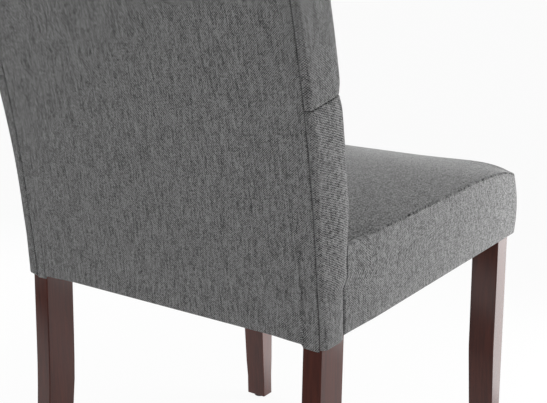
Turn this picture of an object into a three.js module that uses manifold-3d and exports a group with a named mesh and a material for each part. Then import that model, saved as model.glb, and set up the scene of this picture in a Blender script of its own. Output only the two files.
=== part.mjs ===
// Parsons dining chair: a timber frame with padding under fitted cloth covers.
// Millimetres, +Z up. The chair faces -Y.
// Up to the last lines, Z = 0 is the lower edge of the covers and Y = 0 the rear face of the rear legs there.

import * as THREE from "three";
import { mergeVertices } from "three/addons/utils/BufferGeometryUtils.js";
import Module from "manifold-3d";

const wasm = await Module();
wasm.setup();

// Size of the frame: floor to the covers' lower edge, width over the rear legs, depth, and length of the back
const hemHeight = 355;
const rearLegSpan = 440;
const frontLegFront = 472.2;
const backStation = 590;

// Cloth, fits and cuts
const cloth = 2;
const softGap = 0.3;
const woodGap = 0.2;
const seamGap = 0.3;
const tuckGap = 0.7;
const overrun = 40;
const meshStep = 62;

// Padding that the covers take round the frame
const sidePaddingThickness = 5.4;
const seatSeamOutset = 4;
const seatFrontPadding = 17.8;
const backHalfWidth = rearLegSpan / 2 + softGap + sidePaddingThickness + softGap + cloth;
const seatHalfWidth = rearLegSpan / 2 + seatSeamOutset;
const seatFront = frontLegFront + seatFrontPadding;

// Seat rails, with tenons into the legs
const railLift = 1.5;
const railTop = 66;
const railThickness = 22;
const sideRailOuter = rearLegSpan / 2;
const frontRailInset = 2;
const frontRailFace = frontLegFront - frontRailInset;
const rearRailFace = 2;
const tenonThickness = 9;
const tenonHeight = 44;
const tenonWall = 2.7;

// Rear legs, floor to the top of the back in one piece
const rearLegWidth = 24;
const rearLegDepth = 45;
const rearLegFoot = 34;
const rearLegSplayShare = 0.05;
const rearLegSweepStart = 100;
const rearLegSweep = 20;
const postDepthLow = 34;
const postDepthHigh = 28;
const postTopInset = 10;

// Front legs
const frontLegProud = 2.5;
const frontLegSpan = rearLegSpan + 2 * frontLegProud;
const frontLegWidth = 38.2;
const frontLegDepth = 31.2;
const taperStart = 170;
const taperWidth = 4;
const taperDepth = 9;

// Tenon lengths: each stops short of the one that crosses it in the leg
const sideTenonRear = rearLegDepth - rearRailFace - railThickness / 2 - tenonThickness / 2 - tenonWall;
const sideTenonFront = 18;
const rearTenon = 14;
const frontLegInner = frontLegSpan / 2 - frontLegWidth;
const frontTenon = sideRailOuter - railThickness / 2 - tenonThickness / 2 - tenonWall - frontLegInner;

// Seat deck and its screws
const deckThickness = 9;
const deckTop = railTop + woodGap + deckThickness;
const deckRearInset = 4;
const deckScrewShank = 1.8;
const deckScrewHead = 3.8;
const deckScrewHeadHeight = 2.4;
const deckScrewLength = 32;
const deckScrewFromFront = 78;
const deckScrewFromRear = 62;

// Seat cover: seam round the top, crown and bulge of the sides
const foamEdge = 25.3;
const seatSeam = deckTop + foamEdge;
const seatCornerRadius = 10;
const frontSeamDrop = 5.5;
const frontSeamReach = 140;
const cornerDip = 7;
const cornerDipReach = 15;
const seatCrown = 19;
const crownRun = 240;
const rearTuck = 5;
const rearTuckReach = 34;
const sideBulge = 5.5;
const seatCrownPowerShare = 2.6;
const bandHeightShares = [0, 0.08, 0.24, 0.5, 0.68, 0.86, 1];
const bandBulgeShares = [0.56, 0.72, 0.94, 1, 0.82, 0.45, 0];

// Line of the back, seen from the side: a straight start, a bend, then straight again
const rearWaddingRoom = 2.6;
const backRoot = cloth + rearWaddingRoom;
const bendHeight = 343;
const rootSlopeShare = 0.02;
const topSlopeShare = 0.232;

// Back covers: thickness of the side band at the hem, above the seat and further up
const bandAtHem = 41;
const bandAtSeat = 51;
const bandFull = 59;
const bandStepLow = 50;
const bandStepHigh = 66;
const bandFullStation = 150;
const rearCornerRadius = 5;
const frontCornerRadius = 7;
const topEdgeRadius = 15;
const backCrown = 13;
const lowerSeam = 253.5;
const upperSeam = 428;
const seamStations = [lowerSeam, upperSeam];
const tuckBelowSeam = 3.5;
const tuckStation = seatSeam - tuckBelowSeam;
const seamPinch = 2.4;
const sidePinch = 0.8;
const seamPinchReach = 9;
const grooveDepth = 1.4;
const grooveReach = 3.5;
const seamRingShares = [-2.6, -1.2, -0.55, 0, 0.55, 1.2, 2.6];
const crownPowerShare = 2.4;
const panelPowerShare = 3;
const hemDrop = 6;

// Outside back panel
const panelInset = 13.3;
const panelTopInset = 16;

// Back rails between the posts: the middle one halfway between the others
const backRailHeight = 45;
const backRailInset = 4;
const backRailThickness = 20;
const backRailTenon = 12;
const backRailTenonThickness = 8;
const backRailShoulder = 8;
const bottomRailLift = 3;
const topRailDrop = 11;
const bottomRailFrom = tuckStation + bottomRailLift;
const topRailFrom = backStation - topRailDrop - backRailHeight;
const middleRailFrom = (bottomRailFrom + topRailFrom) / 2;

// Corner blocks and their screws
const blockReachFront = 66;
const blockReachRear = 78;
const blockTip = 14;
const blockLift = 12;
const blockHeight = 40;
const screwShank = 2;
const screwHead = 4;
const screwHeadHeight = 2.6;
const screwLength = 38;
const screwFromTip = 11;
const screwSeat = 10;

// Webbing across the back: as many straps in each space between the back rails
const strapWidth = 50;
const strapThickness = 2;
const strapEndInset = 8;
const strapsInSpace = 2;

// Dust cover under the seat
const dustThickness = 0.8;
const dustInset = 1.5;
const dustLift = 0.4;

// Foot glides
const glideRadius = 9;
const glideHeight = 4;
const glidePin = 1.5;
const glidePinLength = 14;

// Finishes
const finishes = {
  walnut: { color: 0x3a2118, roughness: 0.35, metalness: 0 },
  beech: { color: 0xc9a678, roughness: 0.7, metalness: 0 },
  birchPly: { color: 0xd2b48a, roughness: 0.75, metalness: 0 },
  linen: { color: 0x8c8b8b, roughness: 0.9, metalness: 0 },
  linenShade: { color: 0x7d7c7e, roughness: 0.9, metalness: 0 },
  foam: { color: 0xe8dfb8, roughness: 0.95, metalness: 0 },
  wadding: { color: 0xf0efea, roughness: 0.95, metalness: 0 },
  strap: { color: 0x2b2b2b, roughness: 0.9, metalness: 0 },
  dustCloth: { color: 0x1c1c1d, roughness: 0.9, metalness: 0 },
  zincSteel: { color: 0xb9bcc0, roughness: 0.35, metalness: 0.9 },
  nylon: { color: 0x3b2c26, roughness: 0.6, metalness: 0 },
};

// Solids and meshes
function toSolid(geometry) {
  const plain = geometry.clone();
  plain.deleteAttribute("normal");
  plain.deleteAttribute("uv");
  const merged = mergeVertices(plain);
  const vertProperties = new Float32Array(merged.attributes.position.array);
  const triVerts = new Uint32Array(merged.index.array);
  return new wasm.Manifold(new wasm.Mesh({ numProp: 3, vertProperties, triVerts }));
}

function toGeometry(solid) {
  const mesh = solid.getMesh();
  const geometry = new THREE.BufferGeometry();
  geometry.setAttribute("position", new THREE.BufferAttribute(mesh.vertProperties, mesh.numProp));
  geometry.setIndex(new THREE.BufferAttribute(mesh.triVerts, 1));
  geometry.computeVertexNormals();
  return geometry;
}

// A closed geometry from points and triangles, turned the right way out
function closedGeometry(points, triangles) {
  const volume = triangles.reduce((sum, [a, b, c]) => {
    const cross = new THREE.Vector3().crossVectors(points[b], points[c]);
    return sum + points[a].dot(cross);
  }, 0);
  const ordered = volume < 0 ? triangles.map(([a, b, c]) => [a, c, b]) : triangles;
  const geometry = new THREE.BufferGeometry().setFromPoints(points);
  geometry.setIndex(ordered.flat());
  return geometry;
}

// A solid through a row of like rings, closed at both ends
function loft(rings) {
  const count = rings[0].length;
  const points = rings.flat();
  const triangles = [];
  rings.slice(1).forEach((_, level) => {
    rings[0].forEach((_, i) => {
      const a = level * count + i;
      const b = level * count + ((i + 1) % count);
      triangles.push([a, b, b + count], [a, b + count, a + count]);
    });
  });
  [rings[0], rings.at(-1)].forEach((ring, end) => {
    const middle = points.length;
    const first = end * (rings.length - 1) * count;
    points.push(ring.reduce((sum, p) => sum.add(p), new THREE.Vector3()).divideScalar(count));
    ring.forEach((_, i) => {
      const a = first + i;
      const b = first + ((i + 1) % count);
      triangles.push(end ? [a, b, middle] : [b, a, middle]);
    });
  });
  return toSolid(closedGeometry(points, triangles));
}

// A solid between two grids of points with as many rows and columns
function slabBetween(outer, inner) {
  const rows = outer.length;
  const columns = outer[0].length;
  const points = [...outer.flat(), ...inner.flat()];
  const at = (side, row, column) => side * rows * columns + row * columns + column;
  const triangles = [];
  for (let row = 0; row < rows - 1; row += 1) {
    for (let column = 0; column < columns - 1; column += 1) {
      const [a, b] = [at(0, row, column), at(0, row, column + 1)];
      const [c, d] = [at(0, row + 1, column + 1), at(0, row + 1, column)];
      const half = rows * columns;
      triangles.push([a, b, c], [a, c, d]);
      triangles.push([a + half, c + half, b + half], [a + half, d + half, c + half]);
    }
  }
  const rim = [];
  for (let column = 0; column < columns - 1; column += 1) rim.push([0, column]);
  for (let row = 0; row < rows - 1; row += 1) rim.push([row, columns - 1]);
  for (let column = columns - 1; column > 0; column -= 1) rim.push([rows - 1, column]);
  for (let row = rows - 1; row > 0; row -= 1) rim.push([row, 0]);
  rim.forEach(([row, column], i) => {
    const [nextRow, nextColumn] = rim[(i + 1) % rim.length];
    const [a, b] = [at(0, row, column), at(0, nextRow, nextColumn)];
    const [c, d] = [at(1, nextRow, nextColumn), at(1, row, column)];
    triangles.push([b, a, d], [b, d, c]);
  });
  return toSolid(closedGeometry(points, triangles));
}

function block(x, y, z) {
  const geometry = new THREE.BoxGeometry(x[1] - x[0], y[1] - y[0], z[1] - z[0]);
  geometry.translate((x[0] + x[1]) / 2, (y[0] + y[1]) / 2, (z[0] + z[1]) / 2);
  return toSolid(geometry);
}

function join(solids) {
  return solids.reduce((sum, solid) => sum.add(solid));
}

function cut(solid, tools) {
  return tools.reduce((rest, tool) => rest.subtract(tool), solid);
}

// The same places for the left side, then mirrored for the right side
function sided(side, from, to) {
  return [side * from, side * to].sort((a, b) => a - b);
}

const chair = new THREE.Group();

function add(name, solid, finish) {
  const mesh = new THREE.Mesh(toGeometry(solid), new THREE.MeshStandardMaterial(finish));
  mesh.name = name;
  chair.add(mesh);
}

// Sides of the chair, as its sitter names them
const sides = [
  { name: "left", side: 1 },
  { name: "right", side: -1 },
];

// Rear face of the back covers at a station, with its slope
function backLine(station) {
  const bent = THREE.MathUtils.clamp(station, 0, bendHeight);
  const slope = rootSlopeShare + ((topSlopeShare - rootSlopeShare) * bent) / bendHeight;
  const y = backRoot + ((rootSlopeShare + slope) / 2) * bent + slope * (station - bent);
  return { y, angle: Math.atan(slope) };
}

// A point of the back: across, along its rear face, and forward from that face
function backPoint(x, station, depth) {
  const { y, angle } = backLine(station);
  return new THREE.Vector3(x, y - depth * Math.cos(angle), station + depth * Math.sin(angle));
}

// A piece that follows the line of the back, between two depths that may change with the station
function backSlab(x, stations, depthFrom, depthTo) {
  const [low, high] = stations;
  const steps = Math.max(1, Math.ceil((high - low) / meshStep));
  const rings = Array.from({ length: steps + 1 }, (_, i) => {
    const station = THREE.MathUtils.lerp(low, high, i / steps);
    const [near, far] = [depthFrom, depthTo].map((d) => (d instanceof Function ? d(station) : d));
    return [
      backPoint(x[0], station, near),
      backPoint(x[1], station, near),
      backPoint(x[1], station, far),
      backPoint(x[0], station, far),
    ];
  });
  return loft(rings);
}

function bell(distance, reach) {
  return Math.exp(-((distance / reach) ** 2));
}

function seamBell(station, reach) {
  return seamStations.reduce((sum, seam) => sum + bell(station - seam, reach), 0);
}

// Thickness of the back at its sides
function bandThickness(station) {
  const seatStep = THREE.MathUtils.smoothstep(station, bandStepLow, bandStepHigh);
  const fullStep = THREE.MathUtils.smoothstep(station, bandStepHigh, bandFullStation);
  const plain = bandAtHem + (bandAtSeat - bandAtHem) * seatStep + (bandFull - bandAtSeat) * fullStep;
  return plain - seamPinch * seamBell(station, seamPinchReach);
}

// Crown of the padded front: each panel swells between its seams
function panelCrown(station, xShare) {
  const edges = [2 * tuckStation - seamStations[0], ...seamStations, backStation + topEdgeRadius];
  const above = edges.findIndex((edge, i) => i > 0 && station <= edge);
  const [low, high] = [edges[above - 1], edges[above]];
  const along = Math.abs((2 * (station - low)) / (high - low) - 1);
  const across = Math.abs(xShare);
  return backCrown * (1 - along ** panelPowerShare) * (1 - across ** crownPowerShare);
}

function arc(centreX, centreDepth, radius, from, to, steps) {
  return Array.from({ length: steps + 1 }, (_, i) => {
    const angle = THREE.MathUtils.lerp(from, to, i / steps);
    return [centreX + radius * Math.cos(angle), centreDepth + radius * Math.sin(angle)];
  });
}

// One ring of the back's outer form, drawn in by an inset
function backRing(station, inset, edgeInset) {
  const arcSteps = 3;
  const groove = grooveDepth * seamBell(station, grooveReach);
  const pull = inset + edgeInset + groove;
  const half = backHalfWidth - sidePinch * seamBell(station, seamPinchReach);
  const thickness = bandThickness(station);
  const rear = arc(
    half - rearCornerRadius,
    rearCornerRadius,
    rearCornerRadius - inset,
    -Math.PI / 2,
    0,
    arcSteps,
  ).map(([x, depth]) => [x - edgeInset - groove, depth + edgeInset]);
  const front = arc(
    half - frontCornerRadius,
    thickness - frontCornerRadius,
    frontCornerRadius - inset,
    0,
    Math.PI / 2,
    arcSteps,
  ).map(([x, depth]) => [x - edgeInset - groove, depth - edgeInset - groove]);
  const frontHalf = half - frontCornerRadius - edgeInset - groove;
  const frontSteps = 5;
  const crowned = Array.from({ length: frontSteps }, (_, i) => {
    const share = Math.cos((Math.PI / 2) * ((i + 1) / frontSteps));
    return [frontHalf * share, thickness - pull + panelCrown(station, share)];
  });
  const halfRing = [[rear[0][0] / 2, rear[0][1]], ...rear, ...front, ...crowned];
  const mirrored = halfRing
    .filter(([x], i) => i < halfRing.length - 1 || x > softGap)
    .map(([x, depth]) => [-x, depth])
    .reverse();
  return [...halfRing, ...mirrored].map(([x, depth]) => backPoint(x, station, depth));
}

// Stations of the rings: close together where the form changes
function backStations() {
  const offsets = seamRingShares.map((share) => share * grooveReach);
  const nearSeams = seamStations.flatMap((seam) => offsets.map((offset) => seam + offset));
  const plain = [bandStepLow, bandStepHigh, bandFullStation];
  const ends = [-hemDrop, 0, ...seamStations, backStation - topEdgeRadius];
  const between = ends.slice(1).flatMap((end, i) => {
    const steps = Math.ceil((end - ends[i]) / meshStep);
    return Array.from({ length: steps - 1 }, (_, k) => THREE.MathUtils.lerp(ends[i], end, (k + 1) / steps));
  });
  const all = [-hemDrop, 0, ...plain, ...nearSeams, ...between].sort((a, b) => a - b);
  return all.filter((station, i) => i === 0 || station - all[i - 1] > softGap);
}

function backForm(inset) {
  const rings = backStations().map((station) => backRing(station, inset, 0));
  if (inset > 0) rings.unshift(backRing(-hemDrop - inset, inset, 0));
  const steps = 4;
  for (let i = 0; i <= steps; i += 1) {
    const angle = ((Math.PI / 2) * i) / steps;
    const radius = topEdgeRadius - inset;
    const station = backStation - topEdgeRadius + radius * Math.sin(angle);
    rings.push(backRing(station, inset, radius * (1 - Math.cos(angle))));
  }
  return loft(rings);
}

// Rear legs
const legTop = railTop;
const legBottom = glideHeight + softGap - hemHeight;
const postTop = backStation - postTopInset;
const postStation = bottomRailFrom;

function postFront(station) {
  const share = THREE.MathUtils.clamp((station - postStation) / (postTop - postStation), 0, 1);
  return backRoot + THREE.MathUtils.lerp(postDepthLow, postDepthHigh, share);
}

function legSplay(drop) {
  const swept = Math.max(0, drop - rearLegSweepStart) / (-legBottom - rearLegSweepStart);
  return rearLegSplayShare * drop + rearLegSweep * swept ** 2;
}

function tenonSlots(side) {
  return [sideTenon(side, woodGap), ...backTenons(woodGap), rearRailTenons(woodGap)];
}

function rearLeg(side) {
  const x = sided(side, rearLegSpan / 2 - rearLegWidth, rearLegSpan / 2);
  const lowSteps = 7;
  const lowRings = Array.from({ length: lowSteps + 1 }, (_, i) => {
    const drop = -legBottom * (1 - i / lowSteps);
    const rear = legSplay(drop);
    const tapered = Math.max(0, drop - taperStart) / (-legBottom - taperStart);
    const front = rear - THREE.MathUtils.lerp(rearLegDepth, rearLegFoot, tapered);
    return [
      new THREE.Vector3(x[0], rear, -drop),
      new THREE.Vector3(x[1], rear, -drop),
      new THREE.Vector3(x[1], front, -drop),
      new THREE.Vector3(x[0], front, -drop),
    ];
  });
  const seatRing = [
    backPoint(x[0], legTop, backRoot),
    backPoint(x[1], legTop, backRoot),
    new THREE.Vector3(x[1], -rearLegDepth, legTop),
    new THREE.Vector3(x[0], -rearLegDepth, legTop),
  ];
  const highSteps = Math.ceil((postTop - postStation) / meshStep);
  const highRings = Array.from({ length: highSteps + 1 }, (_, i) => {
    const station = THREE.MathUtils.lerp(postStation, postTop, i / highSteps);
    return [
      backPoint(x[0], station, backRoot),
      backPoint(x[1], station, backRoot),
      backPoint(x[1], station, postFront(station)),
      backPoint(x[0], station, postFront(station)),
    ];
  });
  const post = loft([...lowRings, seatRing, ...highRings]);
  return cut(post, [...tenonSlots(side), pinHole(rearFoot(side))]);
}

// Front legs
function frontLeg(side) {
  const outer = frontLegSpan / 2;
  const heights = [legBottom, -taperStart, legTop];
  const rings = heights.map((z, i) => {
    const tapered = i === 0 ? 1 : 0;
    const x = sided(side, outer - frontLegWidth + taperWidth * tapered, outer);
    const rear = -frontLegFront + frontLegDepth - taperDepth * tapered;
    return [
      new THREE.Vector3(x[0], -frontLegFront, z),
      new THREE.Vector3(x[1], -frontLegFront, z),
      new THREE.Vector3(x[1], rear, z),
      new THREE.Vector3(x[0], rear, z),
    ];
  });
  const slots = [sideTenon(side, woodGap), frontRailTenons(woodGap)];
  return cut(loft(rings), [...slots, pinHole(frontFoot(side))]);
}

function frontFoot(side) {
  return {
    x: side * (frontLegSpan / 2 - (frontLegWidth - taperWidth) / 2),
    y: -frontLegFront + (frontLegDepth - taperDepth) / 2,
  };
}

function rearFoot(side) {
  return {
    x: (side * (rearLegSpan - rearLegWidth)) / 2,
    y: legSplay(-legBottom) - rearLegFoot / 2,
  };
}

// Seat rails: each is a board with a tenon at each end
const railMiddle = (railLift + railTop) / 2;
const tenonZ = [railMiddle - tenonHeight / 2, railMiddle + tenonHeight / 2];
const frontLegRear = -frontLegFront + frontLegDepth;
const rearLegInner = rearLegSpan / 2 - rearLegWidth;

function grown(range, gap) {
  return [range[0] - gap, range[1] + gap];
}

function sideTenon(side, gap) {
  const middle = sideRailOuter - railThickness / 2;
  const x = sided(side, middle - tenonThickness / 2, middle + tenonThickness / 2);
  const y = [frontLegRear - sideTenonFront, -rearLegDepth + sideTenonRear];
  return block(grown(x, gap), grown(y, gap), grown(tenonZ, gap));
}

function frontRailTenons(gap) {
  const middle = -frontRailFace + railThickness / 2;
  const x = [-frontLegInner - frontTenon, frontLegInner + frontTenon];
  const y = [middle - tenonThickness / 2, middle + tenonThickness / 2];
  return block(grown(x, gap), grown(y, gap), grown(tenonZ, gap));
}

function rearRailTenons(gap) {
  const middle = -rearRailFace - railThickness / 2;
  const x = [-rearLegInner - rearTenon, rearLegInner + rearTenon];
  const y = [middle - tenonThickness / 2, middle + tenonThickness / 2];
  return block(grown(x, gap), grown(y, gap), grown(tenonZ, gap));
}

function sideRail(side) {
  const x = sided(side, sideRailOuter - railThickness, sideRailOuter);
  const y = [frontLegRear + woodGap, -rearLegDepth - woodGap];
  const rail = block(x, y, [railLift, railTop]).add(sideTenon(side, 0));
  const blockHoles = Object.keys(corners).flatMap((end) => blockScrewHoles(side, end));
  return cut(rail, [...blockHoles, ...deckScrewHoles(side)]);
}

function crossRail(inner, face, tenons, end) {
  const x = [-inner + woodGap, inner - woodGap];
  const rail = block(x, [face, face + railThickness], [railLift, railTop]).add(tenons);
  return cut(rail, sides.flatMap(({ side }) => blockScrewHoles(side, end)));
}

// Back rails, between the posts
const backRails = {
  back_bottom_rail: [bottomRailFrom, bottomRailFrom + backRailHeight],
  back_middle_rail: [middleRailFrom, middleRailFrom + backRailHeight],
  back_top_rail: [topRailFrom, topRailFrom + backRailHeight],
};
const backRailRear = backRoot + backRailInset;

function backTenon(stations, gap) {
  const reach = rearLegInner + backRailTenon;
  const inner = [stations[0] + backRailShoulder, stations[1] - backRailShoulder];
  const near = backRailRear + (backRailThickness - backRailTenonThickness) / 2;
  const far = near + backRailTenonThickness;
  return backSlab(grown([-reach, reach], gap), grown(inner, gap), near - gap, far + gap);
}

function backTenons(gap) {
  return Object.values(backRails).map((stations) => backTenon(stations, gap));
}

function backRail(stations) {
  const x = [-rearLegInner + woodGap, rearLegInner - woodGap];
  const rail = backSlab(x, stations, backRailRear, backRailRear + backRailThickness);
  return rail.add(backTenon(stations, 0));
}

// Corner blocks: a triangle in each corner, cut round the leg, with a screw into each rail
const corners = {
  front: {
    y: -frontRailFace + railThickness,
    into: 1,
    reach: blockReachFront,
    leg: (side) => [sided(side, frontLegInner, frontLegSpan / 2), [-frontLegFront, frontLegRear]],
  },
  rear: {
    y: -rearRailFace - railThickness,
    into: -1,
    reach: blockReachRear,
    leg: (side) => [sided(side, rearLegInner, rearLegSpan / 2), [-rearLegDepth, 0]],
  },
};
const railInner = sideRailOuter - railThickness;
const blockZ = [blockLift, blockLift + blockHeight];
const screwZ = (blockZ[0] + blockZ[1]) / 2;

function cornerBlock(side, end) {
  const { y, into, reach, leg } = corners[end];
  const outline = [
    [woodGap, woodGap],
    [reach, woodGap],
    [reach, blockTip],
    [blockTip, reach],
    [woodGap, reach],
  ];
  const rings = blockZ.map((z) =>
    outline.map(([a, b]) => new THREE.Vector3(side * (railInner - a), y + into * b, z)),
  );
  const [legX, legY] = leg(side);
  const room = block(grown(legX, woodGap), grown(legY, woodGap), [-overrun, railTop + overrun]);
  return cut(loft(rings), [room, ...blockScrewHoles(side, end)]);
}

// Screws of a corner block: where each head sits and which way it drives
function blockScrews(side, end) {
  const { y, into, reach } = corners[end];
  const far = reach - screwFromTip;
  return [
    {
      seat: new THREE.Vector3(side * (railInner - screwSeat), y + into * far, screwZ),
      drive: new THREE.Vector3(side, 0, 0),
    },
    {
      seat: new THREE.Vector3(side * (railInner - far), y + into * screwSeat, screwZ),
      drive: new THREE.Vector3(0, -into, 0),
    },
  ];
}

function screwGeometry(shank, head, headHeight, length, gap) {
  const profile = [
    [0, -headHeight],
    [head + gap, -headHeight],
    [head + gap, 0],
    [shank + gap, 0],
    [shank + gap, length - 2 * shank],
    [0, length + gap],
  ];
  const facets = 12;
  return new THREE.LatheGeometry(profile.map(([r, l]) => new THREE.Vector2(r, l)), facets);
}

function driven(geometry, { seat, drive }) {
  const turn = new THREE.Quaternion().setFromUnitVectors(new THREE.Vector3(0, 1, 0), drive);
  return geometry.clone().applyQuaternion(turn).translate(seat.x, seat.y, seat.z);
}

function blockScrewHoles(side, end) {
  const hole = screwGeometry(screwShank, screwHead, overrun, screwLength - screwSeat, softGap);
  return blockScrews(side, end).map((place) => toSolid(driven(hole, place)));
}

// Seat deck: one board on the rails, notched round the rear legs, screwed to the side rails
function deckScrews(side) {
  const x = side * (sideRailOuter - railThickness / 2);
  const z = deckTop - deckScrewHeadHeight;
  const places = [-frontRailFace + deckScrewFromFront, -rearLegDepth - deckScrewFromRear];
  return places.map((y) => ({ seat: new THREE.Vector3(x, y, z), drive: new THREE.Vector3(0, 0, -1) }));
}

function deckScrewHoles(side) {
  const length = deckScrewLength - deckThickness;
  const hole = screwGeometry(deckScrewShank, deckScrewHead, overrun, length, softGap);
  return deckScrews(side).map((place) => toSolid(driven(hole, place)));
}

function legRoom(side, end) {
  const [x, y] = corners[end].leg(side);
  return block(grown(x, woodGap), grown(y, softGap), [-overrun, railTop + overrun]);
}

function seatDeck() {
  const x = [-sideRailOuter, sideRailOuter];
  const y = [-frontRailFace, -deckRearInset];
  const deck = block(x, y, [railTop + woodGap, deckTop]);
  const notches = sides.map(({ side }) => legRoom(side, "rear"));
  return cut(deck, [...notches, ...sides.flatMap(({ side }) => deckScrewHoles(side))]);
}

function dustCover() {
  const half = rearLegSpan / 2 - dustInset;
  const y = [-frontRailFace, -rearRailFace];
  const sheet = block([-half, half], y, [dustLift, dustLift + dustThickness]);
  const rooms = sides.flatMap(({ side }) => ["front", "rear"].map((end) => legRoom(side, end)));
  return cut(sheet, rooms);
}

// Foot glides
function glideGeometry(gap) {
  const profile = [
    [0, 0],
    [glideRadius + gap, 0],
    [glideRadius + gap, glideHeight],
    [glidePin + gap, glideHeight],
    [glidePin + gap, glideHeight + glidePinLength + gap],
    [0, glideHeight + glidePinLength + gap],
  ];
  const facets = 24;
  return new THREE.LatheGeometry(profile.map(([r, z]) => new THREE.Vector2(r, z)), facets)
    .rotateX(Math.PI / 2);
}

function pinHole({ x, y }) {
  return toSolid(glideGeometry(softGap).translate(x, y, -hemHeight));
}

function glide({ x, y }) {
  return toSolid(glideGeometry(0).translate(x, y, -hemHeight));
}

// Front face of the back covers at a height above the hem
function backFront(x, z) {
  const xShare = x / (backHalfWidth - frontCornerRadius);
  const crown = (station) => panelCrown(station, THREE.MathUtils.clamp(xShare, -1, 1));
  const passes = 6;
  let station = z;
  for (let i = 0; i < passes; i += 1) {
    const depth = bandThickness(station) + (station > tuckStation ? crown(station) : crown(tuckStation));
    station = z - depth * Math.sin(backLine(station).angle);
  }
  const depth = bandThickness(station) + (Math.abs(xShare) < 1 ? crown(Math.max(station, tuckStation)) : 0);
  return backPoint(x, station, depth).y;
}

// Seat form: height of the seam round the top
function seamHeight(x, y) {
  const front = THREE.MathUtils.smoothstep(-y, seatFront - frontSeamReach, seatFront);
  const toCorner = Math.hypot(seatHalfWidth - Math.abs(x), seatFront + y) - seatCornerRadius / 2;
  return seatSeam - frontSeamDrop * front - cornerDip * bell(Math.max(0, toCorner), cornerDipReach);
}

function crownHeight(x, y) {
  const across = 1 - Math.abs(x / seatHalfWidth) ** seatCrownPowerShare;
  const run = THREE.MathUtils.clamp((seatFront + y) / crownRun, 0, 1);
  const along = 1 - (1 - run) ** crownPowerShare;
  const tuck = rearTuck * bell(y - backFront(0, seatSeam), rearTuckReach);
  return seamHeight(x, y) + across * (seatCrown * along - tuck);
}

// Rows of the seat from front to rear: first round the corner, then evenly
const cornerSteps = 4;
const seatRows = 11;
const seatColumns = 16;

function columnShare(column) {
  return Math.sin(Math.PI * (column / seatColumns - 1 / 2));
}

function seatRow(row) {
  if (row <= cornerSteps) {
    const angle = ((Math.PI / 2) * row) / cornerSteps;
    const half = seatHalfWidth - seatCornerRadius * (1 - Math.sin(angle));
    return { half, y: () => -seatFront + seatCornerRadius * (1 - Math.cos(angle)) };
  }
  const share = (row - cornerSteps) / (seatRows - cornerSteps);
  const start = -seatFront + seatCornerRadius;
  const y = (x) => THREE.MathUtils.lerp(start, backFront(x, seatSeam) - tuckGap, share);
  return { half: seatHalfWidth, y };
}

// Top of the seat as a grid, drawn in by an inset from its rim and lowered by a drop
function seatTopGrid(inset, drop, rimDrop) {
  return Array.from({ length: seatRows + 1 }, (_, row) => {
    const { half, y } = seatRow(row);
    return Array.from({ length: seatColumns + 1 }, (_, column) => {
      const x = half * columnShare(column);
      const onRim = row === 0 || column === 0 || column === seatColumns;
      const place = new THREE.Vector3(x, y(x), 0);
      place.z = crownHeight(place.x, place.y) - (onRim ? rimDrop : drop);
      if (column === 0 || column === seatColumns) place.x -= inset * Math.sign(x);
      if (row <= cornerSteps) place.y += inset * Math.cos(((Math.PI / 2) * row) / cornerSteps);
      return place;
    });
  });
}

function seatTopCover() {
  return slabBetween(seatTopGrid(0, 0, -seamGap / 2), seatTopGrid(cloth, cloth, -seamGap / 2));
}

// Side band of the seat: rows up its height, columns along the rim from the left rear to the right rear
function rimColumns() {
  const straightSteps = seatRows - cornerSteps;
  const start = -seatFront + seatCornerRadius;
  const side = Array.from({ length: straightSteps }, (_, i) => ({
    rearShare: 1 - i / straightSteps,
    x: seatHalfWidth,
    y: start,
    normal: [1, 0],
  }));
  const corner = Array.from({ length: cornerSteps + 1 }, (_, i) => {
    const angle = ((Math.PI / 2) * i) / cornerSteps;
    const normal = [Math.cos(angle), -Math.sin(angle)];
    return {
      rearShare: 0,
      x: seatHalfWidth + seatCornerRadius * (normal[0] - 1),
      y: start + seatCornerRadius * normal[1],
      normal,
    };
  });
  const frontHalf = seatHalfWidth - seatCornerRadius;
  const front = Array.from({ length: seatColumns / 2 }, (_, i) => ({
    rearShare: 0,
    x: frontHalf * columnShare(seatColumns - 1 - i),
    y: -seatFront,
    normal: [0, -1],
  }));
  const half = [...side, ...corner, ...front];
  const mirrored = half
    .slice(0, -1)
    .map((c) => ({ ...c, x: -c.x, normal: [-c.normal[0], c.normal[1]] }))
    .reverse();
  return [...half, ...mirrored];
}

function bandGrid(inset) {
  return bandHeightShares.map((share, row) =>
    rimColumns().map(({ rearShare, x, y, normal }) => {
      const seamY = THREE.MathUtils.lerp(y, backFront(x, seatSeam) - tuckGap, rearShare);
      const z = share * (seamHeight(x, seamY) - seamGap / 2);
      const rear = backFront(x, z) - tuckGap;
      const out = sideBulge * bandBulgeShares[row] - inset;
      return new THREE.Vector3(
        x + out * normal[0],
        THREE.MathUtils.lerp(y, rear, rearShare) + out * normal[1],
        z,
      );
    }),
  );
}

function seatSideBand() {
  return slabBetween(bandGrid(0), bandGrid(cloth));
}

// Seat foam, from the deck to the covers
function seatFoam() {
  const top = seatTopGrid(cloth + softGap, cloth + softGap, cloth + softGap);
  const bottom = top.map((row) => row.map((p) => new THREE.Vector3(p.x, p.y, deckTop + softGap)));
  return slabBetween(top, bottom);
}

// Padding between the seat frame and the side band
function sidePadding(side) {
  const outward = sideBulge * bandBulgeShares[0] - cloth - softGap;
  const x = sided(side, sideRailOuter + softGap, seatHalfWidth + outward);
  const y = [frontLegRear + softGap, -rearLegDepth];
  return block(x, y, [railLift, deckTop]);
}

function frontPadding() {
  const outward = sideBulge * bandBulgeShares[0] - cloth - softGap;
  const half = seatHalfWidth - 2 * seatCornerRadius;
  return block([-half, half], [-seatFront - outward, -frontLegFront - softGap], [railLift, deckTop]);
}

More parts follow.
